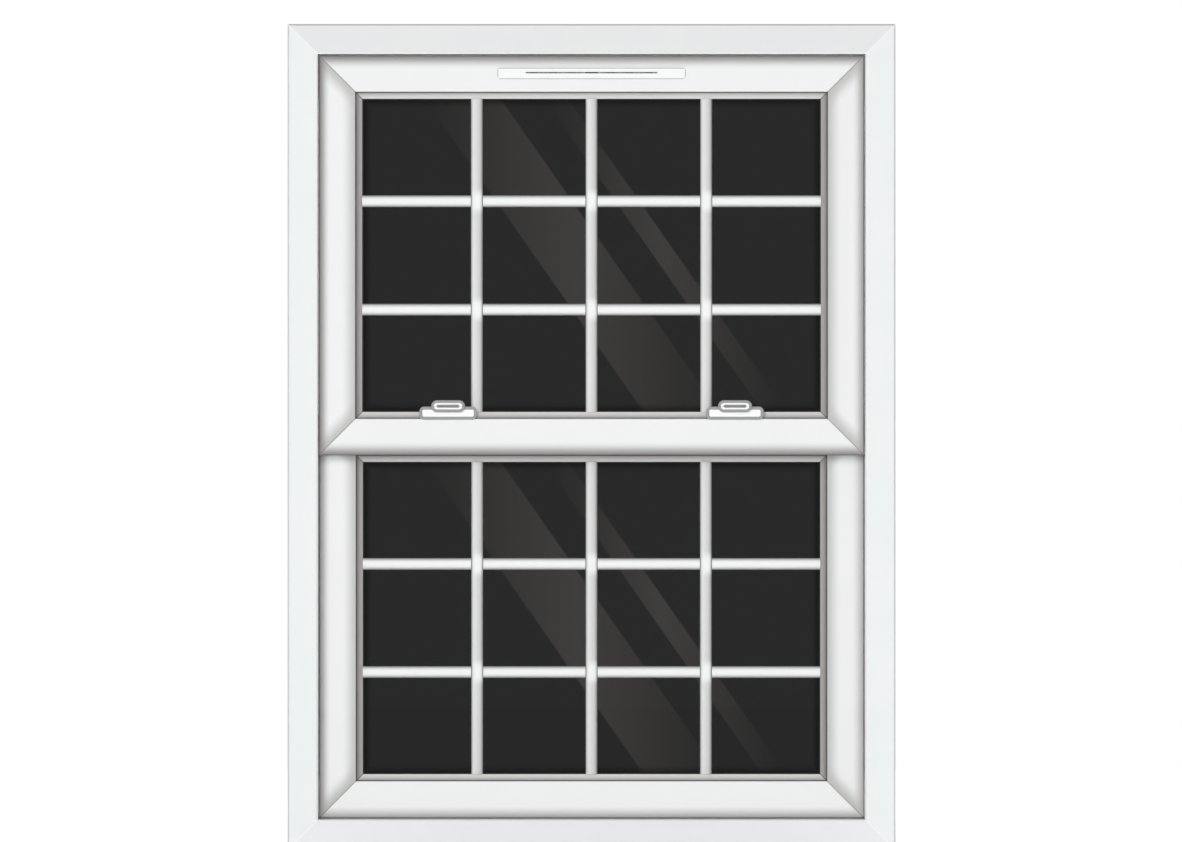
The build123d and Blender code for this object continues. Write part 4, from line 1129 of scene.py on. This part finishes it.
@dataclass
class Sash:
    """One sliding sash: its welded profile, beads, sealed unit, bars, seals and rods."""

    body: str
    bottom: float
    front: float
    colour: str
    width: float = 819 * MM
    height: float = 600.5 * MM
    shade: str = "#eceeee"
    # The right stile is a shaded copy of the white: painted shade, as though the light came from the left.
    shaded_right_colour: str = "#ebecec"
    # Painted shade round the rails' and stiles' outer edges, and a painted shadow line at the outer edge.
    rail_edge_shade: str = "#9b9896"
    rail_edge_shade_width: float = 21 * MM
    stile_edge_shades: tuple[str, str] = ("#9c9896", "#bdbab9")
    seam_shadow_limits: tuple[float, float] | None = (0.6 * MM, 2.2 * MM)
    # Painted shade along the stiles' inner edges and near the mitres.
    inner_painted_light: str = "#bfbebd"
    inner_width: float = 22 * MM
    inner_margin: float = 3 * MM
    corner_shade_width: float = 34 * MM
    face: float = 55 * MM
    sight: float = 65 * MM
    panes_across: int = 4
    panes_up: int = 3
    bar_width: float = 18 * MM
    bar_height: float = 8 * MM
    # The bars' crown tone is full a little above the bars, and their painted shade at the foot a little above
    # the glass.
    crown_margin: float = 1.05
    foot_height: float = 1 * MM
    glass_recess: float = 22 * MM
    unit_thickness: float = 20 * MM
    bead_front: float = 4 * MM
    bead_back: float = 18 * MM
    bead_line: tuple[float, float] = (0.6 * MM, 1.8 * MM)
    # The lip's section, as shares of its width and height from the bead to the glass.
    lip_section: tuple[tuple[float, float], ...] = ((0, 0), (0, 1), (0.55, 0.8), (1, 0.15), (1, 0))
    lip_width: float = 2.4 * MM
    lip_height: float = 1.5 * MM
    lip_overlap: float = 0.3 * MM
    strip_width: float = 4.6 * MM
    strip_base: float = 1.2 * MM
    seal_depth: float = 4.2 * MM
    rod_width: float = 4.4 * MM
    rod_thickness: float = 1.6 * MM
    rod_turn: float = 22 * MM
    rod_turn_steps: int = 14
    rod_radius: float = 2.5 * MM
    seed: int = 3

    @property
    def name(self) -> str:
        """The first word of this sash's nodes."""
        return self.body.split("_")[0]

    @property
    def outline(self) -> Outline:
        """The rectangle that the sash fills."""
        return Outline(self.width / 2, self.height / 2, self.bottom + self.height / 2)

    def dress_own(self, material: Material, *parts: str) -> None:
        """Gives this sash's named parts a finished material."""
        dress(material, *(f"{self.name}_{part}" for part in parts))

    def dress_members(self) -> None:
        """Dresses the rails, the stiles and the glazing beads."""
        rail = ExtrudedPvcU(
            f"{self.name}_rail_pvc_u",
            self.colour,
            self.shade,
            Grain.LEVEL,
            self.outline,
            edge_shade=self.rail_edge_shade,
            edge_shade_limits=(0.0, self.rail_edge_shade_width),
            seam_shadow_limits=self.seam_shadow_limits,
        )
        self.dress_own(rail.build(), "top_rail", "bottom_rail")
        sides = zip(("left", "right"), (self.colour, self.shaded_right_colour), self.stile_edge_shades)
        for side, colour, edge_shade in sides:
            stile = ExtrudedPvcU(
                f"{self.name}_{side}_stile_pvc_u",
                colour,
                self.shade,
                Grain.UPRIGHT,
                self.outline,
                edge_shade=edge_shade,
                seam_shadow_limits=self.seam_shadow_limits,
                inner_painted_light=self.inner_painted_light,
                inner_painted_light_limits=(self.face + self.inner_margin, self.face - self.inner_width),
                corner_shade=self.inner_painted_light,
                corner_shade_width=self.corner_shade_width,
            )
            self.dress_own(stile.build(), f"{side}_stile")
        back, front = self.front + self.bead_back, self.front + self.bead_front
        line = (self.face + self.bead_line[0], self.face + self.bead_line[1])
        bead = GlazingBeadPvcU(f"{self.name}_bead_pvc_u", back, front, self.outline, line)
        self.dress_own(bead.build(), "glazing_beads")

    def glass_y(self, face: Face) -> float:
        """Gives the place of the glass's face on one side of the unit."""
        behind = self.unit_thickness if face is Face.OUTDOOR else 0.0
        return self.front + self.glass_recess + behind

    def dress_glazing(self, finishes: Finishes) -> None:
        """Dresses the panes, the spacer, the packers, the gaskets and the bars."""
        middle = self.outline.middle
        half_width, half_height = self.width / 2 - self.sight, self.height / 2 - self.sight
        sight_line = Outline(half_width, half_height, middle)
        glass = BodyTintedGlass(f"{self.name}_body_tinted_glass", sight_line)
        self.dress_own(glass.build(), "inner_pane", "outer_pane")
        self.dress_own(finishes.spacer, "spacer")
        self.dress_own(finishes.packer, "glazing_packers")
        self.dress_own(finishes.rubber, "gaskets")
        pitch = (2 * half_height + self.bar_width) / self.panes_up
        foot = middle - half_height - self.bar_width / 2
        for face in Face:
            node = f"{face.name.lower()}_bars"
            bars = FoamedPvcBar(
                f"{self.name}_{node}_foamed_pvc",
                self.glass_y(face) + face.value * self.bar_height * self.crown_margin,
                self.glass_y(face) + face.value * self.foot_height,
                2 * half_width / self.panes_across,
                self.bar_width,
                half_width - self.bar_width,
                tuple(foot + row * pitch for row in range(1, self.panes_up)),
            )
            self.dress_own(bars.build(), node)

    def add_gasket_lip(self, face: Face, finishes: Finishes) -> None:
        """Adds the rubber lip that shows between the glass and the bead or the flange."""
        glass, inner = self.glass_y(face), self.sight - self.lip_overlap
        section = [
            (inner + self.lip_width * across, glass + face.value * self.lip_height * up)
            for across, up in self.lip_section
        ]
        name = f"{self.name}_{face.name.lower()}_gasket_lip"
        mesh = self.outline.loop(name, section)
        mesh.materials.append(finishes.rubber)
        piece = link_mesh(name, mesh)
        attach(piece, self.body)

    def add_pile(self, finishes: Finishes) -> None:
        """Grows the pile of the four edge seals from their backing strips."""
        node = f"{self.name}_edge_seals"
        low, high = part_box(node)
        inner = high[0] - self.seal_depth
        back = inner + self.strip_base
        halves = []
        for side, word in ((-1, "left"), (1, "right")):
            first, last = sorted((side * inner, side * back))
            strips = [
                ((first, y, low[2]), (last, y + self.strip_width, high[2]))
                for y in (low[1], high[1] - self.strip_width)
            ]
            seal = PileSeal(self.body, (float(side), 0.0, 0.0), high[0] - back, self.seed)
            halves.append(seal.build(f"{node}_pile_{word}", strips, finishes.pile))
        for piece in halves:
            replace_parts(piece, node)

    def add_rods(self, finishes: Finishes) -> None:
        """Stands the twisted rods of the balances on their arms."""
        node = f"{self.name}_balance_rods"
        low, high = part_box(node)
        reach, track, length = high[0] - self.rod_radius, (low[1] + high[1]) / 2, high[2] - low[2]
        base = raw_mesh(f"{node}_feet", [(-reach, track, low[2]), (reach, track, low[2])])
        values = {
            "Length": length,
            "Turn length": self.rod_turn,
            "Width": self.rod_width,
            "Thickness": self.rod_thickness,
            "Steps": int(length / self.rod_turn * self.rod_turn_steps),
            "Material": finishes.rod,
        }
        piece = twisted_strip_tree().run(f"{self.name}_twisted_rods", base, values)
        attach(piece, self.body)
        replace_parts(piece, node)

    def build(self, finishes: Finishes) -> None:
        """Dresses the sash and adds its lips, its pile and its rods."""
        self.dress_members()
        self.dress_glazing(finishes)
        self.dress_own(finishes.galvanised, "reinforcements")
        self.dress_own(finishes.nylon, "guide_shoes")
        for face in Face:
            self.add_gasket_lip(face, finishes)
        self.add_pile(finishes)
        self.add_rods(finishes)
        log.info("%s sash: members, glazing, gasket lips, pile and rods", self.name)


@dataclass
class SashCatches:
    """The pair of quarter-turn catches, their keeps, their screws and the seal behind them."""

    middle: float = 215.25 * MM
    base_width: float = 86 * MM
    screw_inset: float = 8 * MM
    top: float = 665 * MM
    spindle_y: float = -51.25 * MM
    keep_screw_spacing: float = 74.5 * MM
    screw_length: float = 28 * MM
    keep_screw_length: float = 7 * MM
    oval_height: float = 665.7 * MM
    oval_straight: float = 16.5 * MM
    ring_radius: float = 4.8 * MM
    band_width: float = 1.5 * MM
    grey: str = "#9a9b9a"
    seal_base: float = 1.2 * MM

    def add_meeting_seal(self, finishes: Finishes) -> None:
        """Grows the pile that brushes the lower sash behind the catches."""
        low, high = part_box("meeting_seal")
        back = low[1] + self.seal_base
        seal = PileSeal("upper_sash", (0.0, 1.0, 0.0), high[1] - back, 41)
        strips = [(low, (high[0], back, high[2]))]
        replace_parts(seal.build("meeting_seal_pile", strips, finishes.pile), "meeting_seal")

    def add_screws(self, finishes: Finishes) -> None:
        """Sets the screws of the bases and of the keeps."""
        reach = self.base_width / 2 - self.screw_inset
        bases = [
            ((side * (self.middle + end * reach), self.spindle_y, self.top), (0.0, 0.0, 1.0))
            for side in (-1, 1)
            for end in (-1, 1)
        ]
        screw = CrossRecessScrew(self.screw_length)
        piece = screw.set_row("catch_base_screws", bases, finishes.screw, 5)
        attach(piece, "upper_sash")
        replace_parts(piece, "catch_screws")
        low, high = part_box("keep_screws")
        screw = CrossRecessScrew(self.keep_screw_length)
        outer = high[0] - screw.head_radius
        keeps = [
            ((side * x, low[1], (low[2] + high[2]) / 2), (0.0, -1.0, 0.0))
            for side in (-1, 1)
            for x in (outer - self.keep_screw_spacing, outer)
        ]
        piece = screw.set_row("keep_plate_screws", keeps, finishes.screw, 8)
        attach(piece, "lower_sash")
        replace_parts(piece, "keep_screws")

    def build(self, finishes: Finishes) -> None:
        """Dresses the catches, sets their screws and grows the meeting seal."""
        lacquered = LacqueredZinc("lacquered_die_cast_zinc", self.grey, "#939493").build()
        band = OvalBand(
            self.middle, self.oval_height, self.oval_straight, self.ring_radius, self.band_width, self.grey
        )
        white = MouldedPlastic(
            "gloss_moulded_abs", "#fafafb", "#f6f6f7", roughness=0.22, relief=0.05, band=band
        ).build()
        for side in ("left", "right"):
            dress(lacquered, f"{side}_catch_base", f"{side}_catch_lever")
            dress(white, f"{side}_lever_ring")
            dress(finishes.pressed, f"{side}_catch_cam")
        dress(white, "catch_panels")
        dress(finishes.pressed, "catch_keeps")
        self.add_screws(finishes)
        self.add_meeting_seal(finishes)
        log.info("catches: bases, levers, inlays, cams, keeps, screws and meeting seal")


@dataclass
class TrickleVent:
    """The trickle vent in the upper sash: cover, shutter, hood, slot fins and screws."""

    height: float = 1165 * MM
    plate_width: float = 282 * MM
    plate_height: float = 16.5 * MM
    slot_rise: float = 1.2 * MM
    slot_width: float = 202 * MM
    cover_front: float = -62 * MM
    floor_depth: float = 2 * MM
    fin_width: float = 1.3 * MM
    fin_pitch: float = 1.9 * MM
    fin_height: float = 2.0 * MM
    fin_setback: float = 0.5 * MM
    finger_gap: float = 11 * MM
    screw_reach: float = 136 * MM
    screw_y: float = 3 * MM
    screw_length: float = 16 * MM

    def add_fins(self, material: Material) -> None:
        """Sets the dark fins in the cover's slot, clear of the shutter's finger."""
        # The fins are a grille whose dark colour also stands in for the shade inside the slot: partly painted
        # shade.
        start = self.finger_gap + self.fin_width
        count = int((self.slot_width / 2 - start) / self.fin_pitch)
        depth = self.floor_depth - self.fin_setback
        y, z = self.cover_front + self.floor_depth - depth / 2, self.height + self.slot_rise
        run = (count - 1) * self.fin_pitch
        base = raw_mesh("vent_fin_starts", [(-start - run, y, z), (start, y, z)])
        size = (self.fin_width, depth, self.fin_height)
        values = {"Count": count, "Pitch": self.fin_pitch, "Fin size": size, "Material": material}
        piece = louvre_tree().run("vent_slot_fins", base, values)
        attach(piece, "upper_sash")

    def build(self, finishes: Finishes) -> None:
        """Dresses the vent and adds its fins and its screws."""
        plate = Outline(self.plate_width / 2, self.plate_height / 2, self.height)
        white = MouldedPlastic("satin_moulded_abs", "#f7f8f8", "#f3f4f4", roughness=0.3, relief=0.08)
        # This dark ABS, on the fins, also stands in for the shade inside the slot.
        dark = MouldedPlastic("dark_moulded_abs", "#434444", "#3b3c3c", roughness=0.5).build()
        # The cover gets painted shade round its outline.
        dress(replace(white, name="edged_moulded_abs", edge=plate).build(), "vent_cover")
        dress(white.build(), "vent_hood")
        dress(dark, "vent_shutter")
        self.add_fins(dark)
        places = [
            ((side * self.screw_reach, self.screw_y, self.height), (0.0, 1.0, 0.0)) for side in (-1, 1)
        ]
        screw = CrossRecessScrew(self.screw_length)
        piece = screw.set_row("vent_hood_screws", places, finishes.screw, 2)
        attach(piece, "upper_sash")
        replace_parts(piece, "vent_screws")
        log.info("trickle vent: cover, shutter, hood, fins and screws")


@dataclass(frozen=True)
class Streak:
    """A slanting streak of reflected light, with crisp sides and a glow that comes and goes along it."""

    middle: float
    half_width: float
    glow_start: float
    glow_peak: float
    glow_end: float
    strength: float = 1.37
    softness: float = 1.5 * MM

    def light(self, tree: Tree, along: Socket, aside: Node) -> Node:
        """Adds the nodes that give the streak's light.

        Args:
            tree: The material's tree.
            along: The level place on the glass, which the glow follows.
            aside: The level place at which a slanting line through the point crosses the middle.

        Returns:
            The light's strength.
        """
        inner, outer = self.half_width - self.softness, self.half_width + self.softness
        ends = {0: gap(tree, aside, self.middle), 1: inner, 2: outer, 3: self.strength, 4: 0.0}
        light = add_node(tree, "ShaderNodeMapRange", ends, interpolation_type="SMOOTHSTEP")
        for dark in (self.glow_start, self.glow_end):
            share = add_node(tree, "ShaderNodeMapRange", {0: along, 1: dark, 2: self.glow_peak})
            light = add_node(tree, "ShaderNodeMath", {0: light, 1: share}, operation="MULTIPLY")
        return light


@dataclass
class ReflectionCard:
    """A see-through card in front of one sash that only the glass's reflection shows.

    It lays two slanting soft streaks over the white studio.
    """

    name: str
    middle: float
    half_width: float = 344.5 * MM
    half_height: float = 235.25 * MM
    distance: float = 1.2
    slope: float = -0.70
    wide: Streak = Streak(-29 * MM, 57 * MM, -250 * MM, -25 * MM, 200 * MM)
    narrow: Streak = Streak(111 * MM, 18 * MM, -60 * MM, 105 * MM, 285 * MM)
    tint: str = "#fff3ea"

    def build(self, camera: Point, glass_y: float) -> None:
        """Builds the card and its material.

        Args:
            camera: The camera's place.
            glass_y: The place of the glass that shows the card.
        """
        spread = 1 + self.distance / (glass_y - camera[1])
        places = [(x * self.half_width, z * self.half_height) for x, z in CORNERS]
        corners = [
            (
                camera[0] + (x - camera[0]) * spread,
                glass_y - self.distance,
                camera[2] + (self.middle + z - camera[2]) * spread,
            )
            for x, z in places
        ]
        mesh = raw_mesh(self.name, corners, [(0, 1, 2, 3)])
        layer = mesh.uv_layers.new(name="glass_place")
        for number, place in enumerate(places):
            layer.data[number].uv = place
        mesh.materials.append(self.material())
        card = link_mesh(self.name, mesh)
        card.visible_camera = False
        card.visible_diffuse = False
        card.visible_transmission = False
        card.visible_shadow = False

    def material(self) -> Material:
        """Builds the card's material, whose UV map holds the place on the glass in metres."""
        material = bpy.data.materials.new(f"{self.name}_light")
        tree = cleared_tree(material)
        place = add_node(tree, "ShaderNodeUVMap", uv_map="glass_place")
        parts = add_node(tree, "ShaderNodeSeparateXYZ", {0: place}).outputs
        slant = add_node(tree, "ShaderNodeMath", {0: parts[1], 1: self.slope}, operation="MULTIPLY")
        aside = add_node(tree, "ShaderNodeMath", {0: parts[0], 1: slant}, operation="SUBTRACT")
        wide, narrow = (streak.light(tree, parts[0], aside) for streak in (self.wide, self.narrow))
        both = add_node(tree, "ShaderNodeMath", {0: wide, 1: narrow}, operation="ADD")
        light = add_node(tree, "ShaderNodeEmission", {"Color": linear(self.tint), "Strength": both})
        clear = add_node(tree, "ShaderNodeBsdfTransparent", {"Color": WHITE})
        laid = add_node(tree, "ShaderNodeAddShader", {0: clear, 1: light})
        add_node(tree, "ShaderNodeOutputMaterial", {"Surface": laid})
        return material


def plain_view(tree: Tree) -> Node:
    """Adds the nodes that tell camera, gloss and see-through rays from the light on the window."""
    path = add_node(tree, "ShaderNodeLightPath").outputs
    ends = {0: path["Is Camera Ray"], 1: path["Is Glossy Ray"]}
    seen = add_node(tree, "ShaderNodeMath", ends, operation="MAXIMUM")
    ends = {0: seen, 1: path["Is Transmission Ray"]}
    return add_node(tree, "ShaderNodeMath", ends, operation="MAXIMUM")


@dataclass
class Studio:
    """The pale floor, the white surroundings, the soft lamps and the camera."""

    image_width: float = 1182.0
    millimetres_per_pixel: float = 1.5
    lens: float = 400.0
    sensor: float = 36.0
    clipping: tuple[float, float] = (0.1, 100.0)
    front: float = -67.5 * MM
    camera_x: float = -0.8 * MM
    camera_height: float = 643.5 * MM
    floor_size: float = 9.0
    floor_colour: str = "#f2f2f2"
    floor_lift: float = 0.28
    ambient: float = 0.28
    lamp_size: float = 3.2
    lamp_aim: Point = (0.0, 0.0, 0.62)
    # Each lamp's name, its place and its power in watts.
    lamps: tuple[tuple[str, Point, float], ...] = (
        ("soft_key", (-0.7, -9.0, 1.6), 510.0),
        ("soft_rear", (1.2, 4.6, 4.0), 115.0),
        ("soft_left", (-5.0, 1.9, 1.8), 150.0),
        ("soft_right", (5.0, 1.9, 1.8), 150.0),
    )

    @property
    def camera_place(self) -> Point:
        """The camera's place, from the width that the photograph covers at the window's face."""
        covered = self.image_width * self.millimetres_per_pixel * MM
        return (self.camera_x, self.front - covered * self.lens / self.sensor, self.camera_height)

    def add_camera(self) -> None:
        """Adds the long-lens camera, square to the window."""
        data = bpy.data.cameras.new("studio_camera")
        data.lens = self.lens
        data.sensor_width = self.sensor
        data.clip_start, data.clip_end = self.clipping
        camera = bpy.data.objects.new("studio_camera", data)
        camera.location = self.camera_place
        camera.rotation_euler = (math.pi / 2, 0.0, 0.0)
        bpy.context.scene.collection.objects.link(camera)
        bpy.context.scene.camera = camera

    def add_world(self) -> None:
        """Adds surroundings that look white, also in gloss and glass, and light the window evenly."""
        world = bpy.data.worlds.new("white_studio")
        bpy.context.scene.world = world
        tree = cleared_tree(world)
        soft, white = (
            add_node(tree, "ShaderNodeBackground", {"Color": WHITE, "Strength": strength})
            for strength in (self.ambient, 1.0)
        )
        mixed = add_node(tree, "ShaderNodeMixShader", {0: plain_view(tree), 1: soft, 2: white})
        add_node(tree, "ShaderNodeOutputWorld", {"Surface": mixed})

    def add_floor(self) -> None:
        """Adds the pale floor, which keeps the window's shadow and fades into the white."""
        half = self.floor_size / 2
        corners = [(x * half, y * half, 0.0) for x, y in CORNERS]
        mesh = raw_mesh("studio_floor", corners, [(0, 1, 2, 3)])
        material = bpy.data.materials.new("matt_studio_paint")
        tree = cleared_tree(material)
        ends = {0: plain_view(tree), 1: self.floor_lift}
        lift = add_node(tree, "ShaderNodeMath", ends, operation="MULTIPLY")
        paint = add_node(tree, "ShaderNodeBsdfDiffuse", {"Color": linear(self.floor_colour)})
        glow = add_node(tree, "ShaderNodeEmission", {"Color": WHITE, "Strength": lift})
        both = add_node(tree, "ShaderNodeAddShader", {0: paint, 1: glow})
        add_node(tree, "ShaderNodeOutputMaterial", {"Surface": both})
        mesh.materials.append(material)
        link_mesh("studio_floor", mesh)

    def add_lamp(self, name: str, place: Point, power: float) -> None:
        """Adds one large soft lamp that faces the window's middle.

        Args:
            name: The lamp's name.
            place: Where it stands.
            power: Its power in watts.
        """
        data = bpy.data.lights.new(name, "AREA")
        data.shape = "SQUARE"
        data.size = self.lamp_size
        data.energy = power
        lamp = bpy.data.objects.new(name, data)
        lamp.location = place
        lamp.visible_glossy = False
        aim = Vector(self.lamp_aim) - Vector(place)
        lamp.rotation_euler = aim.to_track_quat("-Z", "Y").to_euler()
        bpy.context.scene.collection.objects.link(lamp)

    def build(self, sashes: Sequence[Sash]) -> None:
        """Builds the studio round the window.

        Args:
            sashes: The sashes whose glass shows a reflection card.
        """
        bpy.context.scene.view_settings.view_transform = "Standard"
        self.add_camera()
        self.add_world()
        self.add_floor()
        for name, place, power in self.lamps:
            self.add_lamp(name, place, power)
        for sash in sashes:
            card = ReflectionCard(f"{sash.name}_reflection_card", sash.outline.middle)
            card.build(self.camera_place, sash.glass_y(Face.ROOM))
        log.info("studio: camera, white surroundings, floor, %d lamps and the cards", len(self.lamps))


def main() -> None:
    """Builds the window's pieces in order, and then the studio round them."""
    logging.basicConfig(level=logging.INFO, format="%(name)s: %(message)s")
    finishes = Finishes()
    # The lower sash is a lighter copy of the upper sash's white, with lighter painted edge shade and no
    # painted shadow line: painted light that lifts the shade it sits in.
    upper = Sash("upper_sash", 592 * MM, -58 * MM, "#eff1f1")
    lower = Sash(
        "lower_sash",
        46.5 * MM,
        -3 * MM,
        "#f3f4f4",
        shade="#f0f1f1",
        shaded_right_colour="#eeefef",
        rail_edge_shade="#c9c6c5",
        rail_edge_shade_width=18 * MM,
        stile_edge_shades=("#c2bfbe", "#d0cdcc"),
        seam_shadow_limits=None,
        seed=7,
    )
    OuterFrame().build(finishes)
    BalanceGear().build(finishes)
    upper.build(finishes)
    lower.build(finishes)
    SashCatches().build(finishes)
    TrickleVent().build(finishes)
    Studio().build((upper, lower))


if __name__ == "__main__":
    main()
